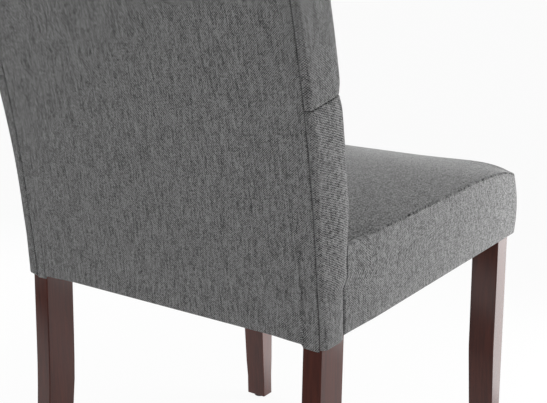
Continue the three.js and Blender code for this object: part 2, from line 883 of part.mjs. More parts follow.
// Back: cloth covers cut from one shell, padding cut from the room inside it
const everywhere = [-backHalfWidth - overrun, backHalfWidth + overrun];
const shell = backForm(0).subtract(backForm(cloth));
const room = backForm(cloth + softGap);
const panelHalf = backHalfWidth - panelInset;
const panelTop = backStation - panelTopInset;
const thickest = bandFull + backCrown + overrun;

function panelRegion(gap) {
  const stations = [-hemDrop - overrun, panelTop + gap];
  return backSlab(grown([-panelHalf, panelHalf], gap), stations, -overrun, rearCornerRadius / 2);
}

function outsideBackPanel() {
  const hem = block([-rearLegInner, rearLegInner], [-overrun, overrun], [-hemDrop - overrun, 0]);
  return shell.intersect(panelRegion(-seamGap / 2)).subtract(hem);
}

function backCover(low, high) {
  const panel = panelRegion(seamGap / 2);
  const level = backSlab(everywhere, [low, high], -overrun, thickest);
  const seatRoom = backSlab(
    [-rearLegSpan / 2 - softGap, rearLegSpan / 2 + softGap],
    [-hemDrop - overrun, tuckStation],
    backRoot,
    thickest,
  );
  return cut(shell.intersect(level), [panel, seatRoom]);
}

const foamRear = (station) => postFront(station) + softGap + strapThickness + softGap;

function backFoam() {
  const front = backSlab(everywhere, [tuckStation, backStation + overrun], foamRear, thickest);
  const overTop = backSlab(everywhere, [postTop + softGap, backStation + overrun], backRoot, thickest);
  return room.intersect(front.add(overTop));
}

function backSidePadding(side) {
  const x = sided(side, rearLegSpan / 2 + softGap, backHalfWidth + overrun);
  const far = (station) => Math.min(foamRear(station) - softGap, bandThickness(station));
  return room.intersect(backSlab(x, [0, postTop], rearCornerRadius / 2, far));
}

function rearWadding() {
  const x = [-panelHalf + cloth, panelHalf - cloth];
  return room.intersect(backSlab(x, [railLift, panelTop], 0, backRoot - softGap));
}

// The frame
for (const { name, side } of sides) {
  add(`rear_leg_${name}`, rearLeg(side), finishes.walnut);
  add(`front_leg_${name}`, frontLeg(side), finishes.walnut);
  add(`seat_rail_${name}`, sideRail(side), finishes.beech);
}
const frontRailY = -frontRailFace;
const rearRailY = -rearRailFace - railThickness;
add("seat_rail_front", crossRail(frontLegInner, frontRailY, frontRailTenons(0), "front"), finishes.beech);
add("seat_rail_rear", crossRail(rearLegInner, rearRailY, rearRailTenons(0), "rear"), finishes.beech);
for (const [name, stations] of Object.entries(backRails)) {
  add(name, backRail(stations), finishes.beech);
}

// Corner blocks and screws
const blockScrew = screwGeometry(screwShank, screwHead, screwHeadHeight, screwLength - screwSeat, 0);
const deckScrew = screwGeometry(
  deckScrewShank,
  deckScrewHead,
  deckScrewHeadHeight,
  deckScrewLength - deckThickness,
  0,
);
for (const { name, side } of sides) {
  for (const end of Object.keys(corners)) {
    add(`corner_block_${end}_${name}`, cornerBlock(side, end), finishes.beech);
    blockScrews(side, end).forEach((place, i) => {
      const rail = i === 0 ? "side" : end;
      add(`block_screw_${end}_${name}_into_${rail}`, toSolid(driven(blockScrew, place)), finishes.zincSteel);
    });
  }
  deckScrews(side).forEach((place, i) => {
    const end = i === 0 ? "front" : "rear";
    add(`deck_screw_${end}_${name}`, toSolid(driven(deckScrew, place)), finishes.zincSteel);
  });
}

// Seat, from the deck outwards
add("seat_deck", seatDeck(), finishes.birchPly);
add("seat_foam", seatFoam(), finishes.foam);
for (const { name, side } of sides) {
  add(`seat_padding_${name}`, sidePadding(side), finishes.wadding);
}
add("seat_padding_front", frontPadding(), finishes.wadding);
add("seat_side_band", seatSideBand(), finishes.linen);
add("seat_top_cover", seatTopCover(), finishes.linen);
add("dust_cover", dustCover(), finishes.dustCloth);

// Back, from the webbing outwards
const railRanges = Object.values(backRails);
const strapStations = railRanges.slice(1).flatMap(([above], i) => {
  const below = railRanges[i][1];
  const share = (k) => (k + 1) / (strapsInSpace + 1);
  return Array.from({ length: strapsInSpace }, (_, k) => THREE.MathUtils.lerp(below, above, share(k)));
});
strapStations.forEach((station, i) => {
  const x = [-rearLegSpan / 2 + strapEndInset, rearLegSpan / 2 - strapEndInset];
  const ends = [station - strapWidth / 2, station + strapWidth / 2];
  const rear = (s) => postFront(s) + softGap;
  const front = (s) => postFront(s) + softGap + strapThickness;
  add(`back_webbing_${i + 1}`, backSlab(x, ends, rear, front), finishes.strap);
});
add("back_foam", backFoam(), finishes.foam);
for (const { name, side } of sides) {
  add(`back_side_padding_${name}`, backSidePadding(side), finishes.wadding);
}
add("outside_back_wadding", rearWadding(), finishes.wadding);
const levels = [-hemDrop - overrun, ...seamStations, backStation + overrun];
["lower", "middle", "upper"].forEach((name, i) => {
  const low = levels[i] + seamGap / 2;
  const high = levels[i + 1] - seamGap / 2;
  add(`back_cover_${name}`, backCover(low, high), finishes.linen);
});
add("outside_back_panel", outsideBackPanel(), finishes.linenShade);

// Foot glides
for (const { name, side } of sides) {
  add(`foot_glide_front_${name}`, glide(frontFoot(side)), finishes.nylon);
  add(`foot_glide_rear_${name}`, glide(rearFoot(side)), finishes.nylon);
}

// The floor at Z = 0, and the middle of the chair's depth at Y = 0
const extent = new THREE.Box3().setFromObject(chair);
chair.position.set(0, -(extent.min.y + extent.max.y) / 2, hemHeight);

export default chair;
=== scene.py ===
# Parsons dining chair: upholstered back and seat on a stained timber frame. All sizes are in metres.
import math

import bmesh
import bpy
import numpy as np
from mathutils import Matrix, Vector


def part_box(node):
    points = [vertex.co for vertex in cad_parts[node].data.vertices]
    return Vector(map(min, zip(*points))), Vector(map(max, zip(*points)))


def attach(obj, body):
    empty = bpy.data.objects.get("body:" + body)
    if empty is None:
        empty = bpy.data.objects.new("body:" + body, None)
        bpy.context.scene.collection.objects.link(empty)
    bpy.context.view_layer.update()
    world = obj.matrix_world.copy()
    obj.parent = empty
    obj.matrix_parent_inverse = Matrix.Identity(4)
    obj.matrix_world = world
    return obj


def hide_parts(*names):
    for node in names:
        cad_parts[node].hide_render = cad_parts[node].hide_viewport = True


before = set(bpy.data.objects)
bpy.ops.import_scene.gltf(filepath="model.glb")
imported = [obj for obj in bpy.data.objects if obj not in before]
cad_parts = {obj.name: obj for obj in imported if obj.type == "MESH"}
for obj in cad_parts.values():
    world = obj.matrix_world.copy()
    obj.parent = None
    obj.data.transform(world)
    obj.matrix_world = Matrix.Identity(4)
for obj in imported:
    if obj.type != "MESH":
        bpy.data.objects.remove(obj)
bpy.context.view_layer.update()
scene = bpy.context.scene
scene.view_settings.view_transform = "Standard"


# Room
# The chair stands on a white studio floor that runs into a white surround. A low lamp lights it from its right
# front, and a larger and higher one from its left front. The surround fills the rest.
class Socket:
    """One output of a shader node. Arithmetic on it adds Math nodes."""

    def __init__(self, nodes, output):
        self.nodes = nodes
        self.output = output

    def math(self, operation, *values):
        return self.nodes.add("Math", {"operation": operation}, dict(enumerate(values)))

    def __add__(self, other):
        return self.math("ADD", self, other)

    def __sub__(self, other):
        return self.math("SUBTRACT", self, other)

    def __rsub__(self, other):
        return self.math("SUBTRACT", other, self)

    def __mul__(self, other):
        return self.math("MULTIPLY", self, other)

    def __truediv__(self, other):
        return self.math("DIVIDE", self, other)

    def __mod__(self, other):
        return self.math("FLOORED_MODULO", self, other)

    def __abs__(self):
        return self.math("ABSOLUTE", self)

    def floor(self):
        return self.math("FLOOR", self)

    def highest(self, other):
        return self.math("MAXIMUM", self, other)

    __radd__ = __add__
    __rmul__ = __mul__


class Nodes:
    """The shader nodes of one material or of the world."""

    def __init__(self, owner):
        owner.use_nodes = True
        self.tree = owner.node_tree
        self.tree.nodes.clear()

    def add(self, kind, settings=(), sockets=(), output=0):
        node = self.tree.nodes.new("ShaderNode" + kind)
        for name, value in dict(settings).items():
            if name == "stops":
                for place, _ in value[2:]:
                    node.color_ramp.elements.new(place)
                for stop, (place, colour) in zip(node.color_ramp.elements, value):
                    stop.position = place
                    stop.color = colour
            else:
                setattr(node, name, value)
        for key, value in dict(sockets).items():
            if isinstance(value, Socket):
                self.tree.links.new(value.output, node.inputs[key])
            else:
                node.inputs[key].default_value = value
        return Socket(self, node.outputs[output]) if node.outputs else None


def linear(red, green, blue):
    """A colour as seen on a screen, from 0 to 255, as the shader's linear colour."""
    parts = [part / 255 for part in (red, green, blue)]
    return [part / 12.92 if part < 0.04 else ((part + 0.055) / 1.055) ** 2.4 for part in parts] + [1]


surround = bpy.data.worlds.new("surround")
scene.world = surround
nodes = Nodes(surround)
kinds = ("Is Camera Ray", "Is Glossy Ray", "Is Transmission Ray")
direct, mirrored, through = [nodes.add("LightPath", output=kind) for kind in kinds]
seen = direct.highest(mirrored).highest(through)
fill_light = nodes.add("Background", sockets={"Color": (1, 1, 1, 1), "Strength": 0.51})
white = nodes.add("Background", sockets={"Color": (1, 1, 1, 1), "Strength": 0.96})
surface = nodes.add("MixShader", sockets={0: seen, 1: fill_light, 2: white})
nodes.add("OutputWorld", sockets={"Surface": surface})

bpy.ops.object.select_all(action="DESELECT")
bpy.ops.mesh.primitive_plane_add(size=60)
floor = bpy.context.object
floor.name = "studio_floor"
floor_paint = bpy.data.materials.new("studio_floor")
nodes = Nodes(floor_paint)
seen = nodes.add("LightPath", output="Is Camera Ray")
mirrored, through = [nodes.add("LightPath", output=kind) for kind in kinds[1:]]
mirrored = mirrored.highest(through)
matte = nodes.add("BsdfDiffuse", sockets={"Color": (0.8, 0.8, 0.8, 1)})
pale = nodes.add("BsdfDiffuse", sockets={"Color": (0.06, 0.06, 0.06, 1)})
shown = nodes.add("Emission", sockets={"Color": (1, 1, 1, 1), "Strength": 0.93})
bright = nodes.add("AddShader", sockets={0: pale, 1: shown})
# Painted reflection: glossy rays see the floor as a glowing ramp, bright in front of the chair and dim, with a
# pale strip, behind it, and the lacquer mirrors that
place = nodes.add("TexCoord", output="Object")
direction = {0: place, 1: (0.15, -0.5, 0)}
forward = nodes.add("VectorMath", {"operation": "DOT_PRODUCT"}, direction, output="Value") + 0.5
levels = ((0.19, 0.06), (0.25, 0.32), (0.31, 0.36), (0.36, 0.12),
          (0.435, 0.12), (0.57, 0.27), (0.65, 0.235), (0.71, 0.96))
stops = [(reached, (level, level, level, 1)) for reached, level in levels]
painted_reflection = nodes.add("ValToRGB", {"stops": stops}, {0: forward})
painted_reflection = nodes.add("Emission", sockets={"Color": painted_reflection, "Strength": 2.4})
unlit = nodes.add("MixShader", sockets={0: mirrored, 1: matte, 2: painted_reflection})
surface = nodes.add("MixShader", sockets={0: seen, 1: unlit, 2: bright})
nodes.add("OutputMaterial", sockets={"Surface": surface})
floor.data.materials.append(floor_paint)


def soft_lamp(name, place, target, size, power):
    lamp = bpy.data.lights.new(name, "AREA")
    lamp.shape = "RECTANGLE"
    lamp.size, lamp.size_y = size
    lamp.energy = power
    holder = bpy.data.objects.new(name, lamp)
    scene.collection.objects.link(holder)
    holder.location = place
    holder.rotation_euler = (Vector(target) - Vector(place)).to_track_quat("-Z", "Y").to_euler()


soft_lamp("key_lamp", (-0.55, -0.85, 0.45), (-0.2, -0.1, 0.45), (0.4, 0.5), 6.5)
soft_lamp("side_lamp", (1.3, -0.5, 0.85), (0, 0.05, 0.47), (0.8, 0.6), 7.4)

# The photograph's camera, found from the edges of the legs and covers. It stands behind the rear legs' rear
# face and above the covers' lower edge, the hem.
frame_depth, hem = 0.4722, 0.355
rear_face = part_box("front_leg_left")[0][1] + frame_depth
camera_place = (-0.775529, rear_face + 0.855393, hem + 0.439076)
camera_yaw, camera_pitch, camera_roll = 0.623694, 0.269272, -0.0123407
ahead = Vector((math.sin(camera_yaw), -math.cos(camera_yaw), 0)) * math.cos(camera_pitch)
ahead.z = -math.sin(camera_pitch)
level = ahead.cross(Vector((0, 0, 1))).normalized()
upward = level.cross(ahead)
across = level * math.cos(camera_roll) + upward * math.sin(camera_roll)
upward = upward * math.cos(camera_roll) - level * math.sin(camera_roll)
lens = bpy.data.cameras.new("camera")
focal_pixels, photo_width = 1049.8, 547
lens.sensor_width = 36
lens.lens = focal_pixels / photo_width * lens.sensor_width
lens.clip_start = 0.05
camera = bpy.data.objects.new("camera", lens)
scene.collection.objects.link(camera)
turned = Matrix((across, upward, -ahead)).transposed().to_4x4()
camera.matrix_world = Matrix.Translation(camera_place) @ turned
scene.camera = camera

# Rear legs
# Each rear leg is sawn in one piece from the floor to the top of the back: swept backward at the foot and
# reclined above the seat. Stained hardwood under satin lacquer, its edges softened; mortised for the rails.
leg_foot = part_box("rear_leg_left")[0][2] - hem
rail_top = 0.066
legs_outer, rear_leg_wide, rear_leg_deep = 0.22, 0.024, 0.045
splay_share, sweep, sweep_start = 0.05, 0.02, 0.1
taper_start, rear_leg_taper = 0.17, 0.011
post_low, post_high, post_deep, post_taper = 0.0685, 0.58, 0.034, 0.006
bend_height, upright_slope, added_slope = 0.343, 0.02, 0.212
cover_behind = 0.0046
softened = 0.0013


def back_slope(station):
    """How far a height of the back's rear line lies behind the legs' rear face, and the line's angle there."""
    bent = np.clip(station, 0, bend_height)
    slope = upright_slope + added_slope * bent / bend_height
    behind = cover_behind + (upright_slope + slope) / 2 * bent + slope * (station - bent)
    return behind, np.arctan(slope)


def back_place(x, station, depth):
    """A point of the back, by its distance up the back's rear line and its depth in front of that."""
    behind, angle = back_slope(station)
    y = rear_face + behind - depth * np.cos(angle)
    z = hem + station + depth * np.sin(angle)
    return np.stack(np.broadcast_arrays(x, y, z), axis=-1)


def post_front(station):
    """Depth of the posts' front face; they get a little thinner towards the top."""
    return cover_behind + post_deep - post_taper * np.clip((station - post_low) / (post_high - post_low), 0, 1)


def stained_wood():
    paint = bpy.data.materials.new("walnut_stained_wood")
    nodes = Nodes(paint)
    place = nodes.add("TexCoord", output="Object")
    along = nodes.add("Mapping", sockets={0: place, "Scale": (1, 1, 0.06)})
    fine = nodes.add("TexNoise", sockets={0: along, "Scale": 260, "Detail": 4, "Roughness": 0.65})
    broad = nodes.add("TexNoise", sockets={0: along, "Scale": 42, "Detail": 3, "Distortion": 0.6})
    stops = [(0.32, linear(62, 21, 13)), (0.72, linear(102, 45, 30))]
    ramp = nodes.add("ValToRGB", {"stops": stops}, {0: fine * 0.55 + broad * 0.45})
    bump = nodes.add("Bump", sockets={"Strength": 0.2, "Distance": 0.0001, "Height": fine})
    surface = {"Base Color": ramp, "Roughness": 0.5 + fine * 0.1, "Specular IOR Level": 0.2, "Normal": bump}
    shader = nodes.add("BsdfPrincipled", sockets={**surface, "Coat Weight": 1, "Coat Roughness": 0.12})
    nodes.add("OutputMaterial", sockets={0: shader})
    return paint


walnut = stained_wood()


def swept_leg(name, sections):
    """A leg shaped from a cube: each section is a centre and two widths, from the foot up."""
    (x, y, z), (wide, deep) = sections[0]
    step = sections[1][0][2] - z
    bpy.ops.object.select_all(action="DESELECT")
    bpy.ops.mesh.primitive_cube_add(size=1, location=(x, y, z + step / 4), scale=(wide, deep, step / 2))
    leg = bpy.context.object
    leg.name = name
    bpy.ops.object.transform_apply(location=True, rotation=True, scale=True)
    bpy.ops.object.mode_set(mode="EDIT")
    bpy.ops.mesh.select_mode(type="FACE")
    mesh = bmesh.from_edit_mesh(leg.data)
    for face in mesh.faces:
        face.select_set(face.normal.z > 0.9)
    bmesh.update_edit_mesh(leg.data)
    last, last_size = Vector((x, y, z + step / 2)), (wide, deep)
    for place, size in sections[1:]:
        place = Vector(place)
        bpy.ops.mesh.extrude_region_move(TRANSFORM_OT_translate={"value": place - last})
        ratio = (size[0] / last_size[0], size[1] / last_size[1], 1)
        bpy.ops.transform.resize(value=ratio, center_override=place)
        last, last_size = place, size
    bpy.ops.mesh.select_mode(type="EDGE")
    mesh = bmesh.from_edit_mesh(leg.data)
    for edge in mesh.edges:
        run = (edge.verts[1].co - edge.verts[0].co).normalized()
        edge.select_set(abs(run.z) > 0.8)
    bmesh.update_edit_mesh(leg.data)
    bpy.ops.mesh.bevel(offset=softened, segments=3, affect="EDGES")
    bpy.ops.object.mode_set(mode="OBJECT")
    bpy.ops.object.shade_smooth_by_angle(angle=math.radians(35))
    bpy.ops.object.modifier_add(type="WEIGHTED_NORMAL")
    leg.modifiers[0].keep_sharp = True
    bpy.ops.object.modifier_apply(modifier=leg.modifiers[0].name)
    leg.data.materials.append(walnut)
    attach(leg, "root")
    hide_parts(name.replace("_wood", ""))
    return leg


rear_sections = []
for share in np.linspace(0, 1, 12):
    drop = -leg_foot * (1 - share)
    swept = max(0, drop - sweep_start) / (-leg_foot - sweep_start)
    behind = splay_share * drop + sweep * swept**2
    deep = rear_leg_deep - rear_leg_taper * max(0, drop - taper_start) / (-leg_foot - taper_start)
    rear_sections.append(((rear_face + behind - deep / 2, hem - drop), deep))
seat_rear = back_place(0, rail_top, cover_behind)[1]
seat_deep = seat_rear - (rear_face - rear_leg_deep)
rear_sections.append(((seat_rear - seat_deep / 2, hem + rail_top), seat_deep))
for station in np.linspace(0.09, post_high, 14):
    rear = back_place(0, station, cover_behind)
    front = back_place(0, station, post_front(station))
    rear_sections.append((((rear[1] + front[1]) / 2, (rear[2] + front[2]) / 2), rear[1] - front[1]))
for side, name in ((1, "left"), (-1, "right")):
    middle = side * (legs_outer - rear_leg_wide / 2)
    sections = [((middle, y, z), (rear_leg_wide, deep)) for (y, z), deep in rear_sections]
    swept_leg(f"rear_leg_{name}_wood", sections)

# Front legs
# Square at the top and tapered below on the inner and rear faces, up to the top of the seat rails. The same
# stained hardwood and lacquer as the rear legs, with the same softened edges.
front_wide, front_deep, front_outer = 0.0382, 0.0312, 0.2225
inner_taper, back_taper = 0.004, 0.009
front_face = rear_face - frame_depth
for side, name in ((1, "left"), (-1, "right")):
    sections = []
    for z in (leg_foot, -0.29, -0.23, -0.18, -0.165, 0, rail_top):
        tapered = max(0, (-z - taper_start) / (-leg_foot - taper_start))
        wide, deep = front_wide - inner_taper * tapered, front_deep - back_taper * tapered
        sections.append(((side * (front_outer - wide / 2), front_face + deep / 2, hem + z), (wide, deep)))
    swept_leg(f"front_leg_{name}_wood", sections)

# Rails, corner blocks, deck, screws and webbing
# Everything inside the covers is plain: beech rails and blocks as planed, a birch plywood deck, zinc plated
# screws, and woven straps across the posts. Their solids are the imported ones; only the finishes are added.


def plain_timber(name, dark, light, stretch):
    paint = bpy.data.materials.new(name)
    nodes = Nodes(paint)
    place = nodes.add("TexCoord", output="Object")
    along = nodes.add("Mapping", sockets={0: place, "Scale": stretch})
    grain = nodes.add("TexNoise", sockets={0: along, "Scale": 180, "Detail": 4, "Roughness": 0.6})
    ramp = nodes.add("ValToRGB", {"stops": [(0.35, dark), (0.68, light)]}, {0: grain})
    bump = nodes.add("Bump", sockets={"Strength": 0.3, "Distance": 0.0002, "Height": grain})
    surface = {"Base Color": ramp, "Roughness": 0.6 + grain * 0.15, "Normal": bump}
    shader = nodes.add("BsdfPrincipled", sockets=surface)
    nodes.add("OutputMaterial", sockets={0: shader})
    return paint


beech_along = plain_timber("beech_sides", linear(186, 146, 104), linear(222, 188, 146), (1, 0.07, 1))
beech_across = plain_timber("beech_cross", linear(186, 146, 104), linear(222, 188, 146), (0.07, 1, 1))
birch = plain_timber("birch_plywood", linear(206, 176, 132), linear(234, 212, 174), (0.08, 0.6, 1))


def zinc_plate():
    paint = bpy.data.materials.new("zinc_plated_steel")
    nodes = Nodes(paint)
    place = nodes.add("TexCoord", output="Object")
    mottle = nodes.add("TexNoise", sockets={0: place, "Scale": 900, "Detail": 2})
    stops = [(0.3, linear(158, 160, 164)), (0.7, linear(198, 199, 200))]
    ramp = nodes.add("ValToRGB", {"stops": stops}, {0: mottle})
    surface = {"Base Color": ramp, "Metallic": 1, "Roughness": 0.3 + mottle * 0.2}
    shader = nodes.add("BsdfPrincipled", sockets=surface)
    nodes.add("OutputMaterial", sockets={0: shader})
    return paint


def strap_weave():
    paint = bpy.data.materials.new("webbing")
    nodes = Nodes(paint)
    place = nodes.add("TexCoord", output="Object")
    ribs = nodes.add("TexWave", {"bands_direction": "X"}, {0: place, "Scale": 320, "Distortion": 0.4})
    weft = nodes.add("TexWave", {"bands_direction": "Z"}, {0: place, "Scale": 250, "Distortion": 0.4})
    woven = ribs * weft
    stops = [(0.1, linear(38, 36, 34)), (0.9, linear(92, 88, 82))]
    ramp = nodes.add("ValToRGB", {"stops": stops}, {0: woven})
    bump = nodes.add("Bump", sockets={"Strength": 0.6, "Distance": 0.0004, "Height": woven})
    shader = nodes.add("BsdfPrincipled", sockets={"Base Color": ramp, "Roughness": 0.85, "Normal": bump})
    nodes.add("OutputMaterial", sockets={0: shader})
    return paint


zinc, strapping = zinc_plate(), strap_weave()
for name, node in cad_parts.items():
    if name.startswith("seat_rail_left") or name.startswith("seat_rail_right"):
        finish = beech_along
    elif "rail" in name or name.startswith("corner_block"):
        finish = beech_across
    elif name == "seat_deck":
        finish = birch
    elif "screw" in name:
        finish = zinc
    elif name.startswith("back_webbing"):
        finish = strapping
    else:
        continue
    for slot in node.material_slots:
        slot.material = finish

# Foot glides
# Nail-on glides of moulded nylon, one under each foot: a low disc with a rounded rim, whose pin is driven into
# the leg.
glide_radius, glide_height, glide_round = 0.009, 0.004, 0.0015
glide_nylon = bpy.data.materials.new("nylon")
nodes = Nodes(glide_nylon)
place = nodes.add("TexCoord", output="Object")
speckle = nodes.add("TexNoise", sockets={0: place, "Scale": 700, "Detail": 3})
stops = [(0.3, linear(28, 27, 27)), (0.7, linear(48, 46, 45))]
tone = nodes.add("ValToRGB", {"stops": stops}, {0: speckle})
shader = nodes.add("BsdfPrincipled", sockets={"Base Color": tone, "Roughness": 0.45 + speckle * 0.2})
nodes.add("OutputMaterial", sockets={0: shader})

bpy.ops.object.select_all(action="DESELECT")
bpy.ops.mesh.primitive_cylinder_add(vertices=48, radius=glide_radius, depth=glide_height, location=(0, 0, 0))
disc = bpy.context.object
bpy.ops.object.mode_set(mode="EDIT")
bpy.ops.mesh.select_mode(type="FACE")
mesh = bmesh.from_edit_mesh(disc.data)
for face in mesh.faces:
    face.select_set(face.normal.z < -0.9)
bmesh.update_edit_mesh(disc.data)
bpy.ops.mesh.bevel(offset=glide_round, segments=4, affect="EDGES")
bpy.ops.object.mode_set(mode="OBJECT")
bpy.ops.object.shade_smooth_by_angle(angle=math.radians(40))
disc.data.materials.append(glide_nylon)
for end in ("front", "rear"):
    for side in ("left", "right"):
        low, high = (Vector(corner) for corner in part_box(f"foot_glide_{end}_{side}"))
        glide = bpy.data.objects.new(f"foot_glide_{end}_{side}_disc", disc.data.copy())
        scene.collection.objects.link(glide)
        middle = (low + high) / 2
        glide.data.transform(Matrix.Translation((middle.x, middle.y, low.z + glide_height / 2)))
        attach(glide, "root")
        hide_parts(f"foot_glide_{end}_{side}")
bpy.data.objects.remove(disc)

# Back pads
# The front and sides of the back are three panels of grey linen-look cloth over foam, joined by two seams
# across. Each wraps round the posts to a folded edge at the rear; the lowest ends in tails round the legs.
back_half, back_top = 0.228, 0.59
rear_corner, front_corner, top_corner = 0.005, 0.007, 0.015
seams, half_seam_gap = (0.2535, 0.428), 0.0004
# The front of the lowest panel ends at the tuck behind the seat, and its tails hang below the hem
tuck, hem_drop = 0.089, 0.006
hem_thick, seat_growth, full_growth = 0.041, 0.01, 0.0095
pinch, pinch_reach = 0.0024, 0.009
# The padding lies against the posts' sides, their rear, and the foam in front of them, up to their top
beside_post, behind_post, before_post, above_post = 0.2203, 0.0043, 0.0026, 0.5812
beside_foam, deepest_fold = beside_post + 0.00005, 0.0041
cell = 0.0042
# The sewn edges of the rear panel lie a little off the middle: places of the left and the right one
panel_edges = {1: 0.2125, -1: 0.2185}
panel_top = 0.574
fold_radius, fold_depth = 0.0016, 0.0038
fold_steps = np.array([-1e-5, 0, 0.0001, 0.0004, 0.0009, fold_radius])


def bell(distance, reach):
    return np.exp(-((distance / reach) ** 2))


def rise(value, low, high):
    share = np.clip((value - low) / (high - low), 0, 1)
    return share * share * (3 - 2 * share)


def spaced(low, high, step):
    """Evenly spaced places between two ends, without the ends."""
    return np.linspace(low, high, max(2, int(round((high - low) / step)) + 1))[1:-1]


def seam_bell(station, reach):
    return sum(bell(station - seam, reach) for seam in seams)


def band_thickness(station):
    grown = seat_growth * rise(station, 0.05, rail_top) + full_growth * rise(station, rail_top, 0.15)
    return hem_thick + grown - pinch * seam_bell(station, pinch_reach)


def panel_crown(station, x_share):
    """How far the front of the back swells between its seams."""
    edges = np.array([2 * tuck - seams[0], *seams, 0.605])
    panel = np.clip(np.searchsorted(edges, station) - 1, 0, 2)
    low, high = edges[panel], edges[panel + 1]
    along = np.clip(np.abs(2 * (station - low) / (high - low) - 1), 0, 1)
    return 0.013 * (1 - along**3) * (1 - np.clip(np.abs(x_share), 0, 1) ** 2.4)


def side_swell(station, share):
    """How far the side falls in from its widest line towards its rear edge and, less, its front edge."""
    rear = 0.0008 + 0.0018 * rise(station, 0.01, 0.06) - 0.0024 * rise(station, 0.14, 0.27)
    return rear * (1 - share) ** 2 + 0.0013 * share**7


def hem_draw(station):
    """How far the rear is drawn in at the hem, where no wadding lies under the cloth."""
    return 0.0024 * (1 - rise(station, 0, 0.09))


def turned_in(distance, radius=fold_radius, depth=fold_depth):
    """How deep a folded edge is turned in, by the distance from it, which is negative on its wall."""
    inside = np.clip(radius - distance, 0, radius)
    fold = radius - np.sqrt(np.clip(radius**2 - inside**2, 0, None))
    return np.where(distance < 0, depth, fold)


def closed_pad(name, outside, inside, kept, u, v, replaced, around=False, held=1, sewn=0):
    """A closed piece between two grids of points. Kept says which cells of the grids are there, held how
    firmly each outer point is fixed when the cloth settles, and the last argument how much painted shade
    darkens its colour along seams and creases."""
    rows, columns = outside.shape[:2]
    u, v = np.broadcast_to(u, (rows, columns)), np.broadcast_to(v, (rows, columns))
    number = np.arange(rows * columns).reshape(rows, columns)
    if around:
        number[:, -1] = number[:, 0]
    shift = rows * columns
    i, j = np.nonzero(kept)
    corners = [(i, j), (i, j + 1), (i + 1, j + 1), (i + 1, j)]

    def weave_place(around_face):
        return np.stack([np.stack([u[corner], v[corner]], -1) for corner in around_face], 1)

    faces = [np.stack([number[corner] for corner in corners], 1)]
    faces += [np.stack([number[corner] + shift for corner in corners[::-1]], 1)]
    places = [weave_place(corners), weave_place(corners[::-1])]
    padded_kept = np.pad(kept, 1)
    if around:
        padded_kept[:, 0], padded_kept[:, -1] = padded_kept[:, -2], padded_kept[:, 1]
    for row, column, a, b in ((-1, 0, 1, 0), (1, 0, 3, 2), (0, -1, 0, 3), (0, 1, 2, 1)):
        open_side = ~padded_kept[i + 1 + row, j + 1 + column]
        a, b = (tuple(part[open_side] for part in corners[corner]) for corner in (a, b))
        faces.append(np.stack([number[a], number[b], number[b] + shift, number[a] + shift], 1))
        places.append(weave_place((a, b, b, a)))
    mesh = bpy.data.meshes.new(name)
    points = np.concatenate([outside.reshape(-1, 3), inside.reshape(-1, 3)])
    mesh.from_pydata(points.tolist(), [], np.concatenate(faces).tolist())
    mesh.uv_layers.new(name="weave").data.foreach_set("uv", np.concatenate(places).ravel())
    firm = np.concatenate([(0 * outside[..., 0] + held).ravel(), np.ones(shift)])
    mesh.attributes.new("held", "FLOAT", "POINT").data.foreach_set("value", firm)
    # Painted shade along seams and creases, stored per point; the cloth's colour is darkened by it
    deep = np.concatenate([(0 * outside[..., 0] + sewn).ravel(), np.zeros(shift)])
    mesh.attributes.new("sewn", "FLOAT", "POINT").data.foreach_set("value", deep)
    work = bmesh.new()
    work.from_mesh(mesh)
    bmesh.ops.remove_doubles(work, verts=work.verts, dist=2e-6)
    bmesh.ops.dissolve_degenerate(work, edges=work.edges, dist=1e-7)
    bmesh.ops.delete(work, geom=[v for v in work.verts if not v.link_faces], context="VERTS")
    if work.calc_volume(signed=True) < 0:
        bmesh.ops.reverse_faces(work, faces=work.faces)
    for face in work.faces:
        face.smooth = True
    work.to_mesh(mesh)
    work.free()
    piece = bpy.data.objects.new(name, mesh)
    scene.collection.objects.link(piece)
    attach(piece, "root")
    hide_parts(*replaced)
    return piece


def settle(piece, pressure, slack, limit):
    """Lets the cover settle as cloth over its filling, held where it is sewn; no point moves past the limit."""
    mesh = piece.data
    count = len(mesh.vertices)
    held, before = np.empty(count), np.empty(count * 3)
    mesh.attributes["held"].data.foreach_get("value", held)
    mesh.vertices.foreach_get("co", before)
    mesh.attributes.remove(mesh.attributes["held"])
    before = before.reshape(-1, 3)
    # The cloth is cut a little loose, more in some places than in others
    waves = np.sin(before[:, 0] * 61 + 1.7 * np.sin(before[:, 2] * 43))
    loose = 0.5 + 0.5 * waves * np.sin(before[:, 1] * 53 + 2)
    for name, weights in (("sewn", held), ("slack", loose * (1 - held))):
        group = piece.vertex_groups.new(name=name)
        for level in range(1, 21):
            members = np.nonzero(np.round(weights * 20) == level)[0]
            group.add(members.tolist(), level / 20, "REPLACE")
    cloth = piece.modifiers.new("cloth", "CLOTH")
    settings = cloth.settings
    settings.quality = 4
    settings.mass = 0.3
    settings.tension_stiffness = settings.compression_stiffness = 40
    settings.shear_stiffness = 12
    settings.bending_stiffness = 0.6
    settings.air_damping = 3
    settings.use_pressure = True
    settings.uniform_pressure_force = pressure
    settings.vertex_group_mass = "sewn"
    settings.pin_stiffness = 5
    settings.vertex_group_shrink = "slack"
    settings.shrink_min, settings.shrink_max = 0, slack
    settings.effector_weights.gravity = 0
    cloth.collision_settings.use_collision = False
    cloth.point_cache.frame_start, cloth.point_cache.frame_end = 1, 20
    for number in range(1, 21):
        scene.frame_set(number)
    settled = piece.evaluated_get(bpy.context.evaluated_depsgraph_get()).data
    after = np.empty(count * 3)
    settled.vertices.foreach_get("co", after)
    piece.modifiers.remove(cloth)
    piece.vertex_groups.clear()
    move = after.reshape(-1, 3) - before
    length = np.linalg.norm(move, axis=1, keepdims=True) + 1e-9
    move = move * (limit * np.tanh(length / limit) / length) * (1 - held[:, None])
    mesh.vertices.foreach_set("co", (before + move).ravel())
    scene.frame_set(1)


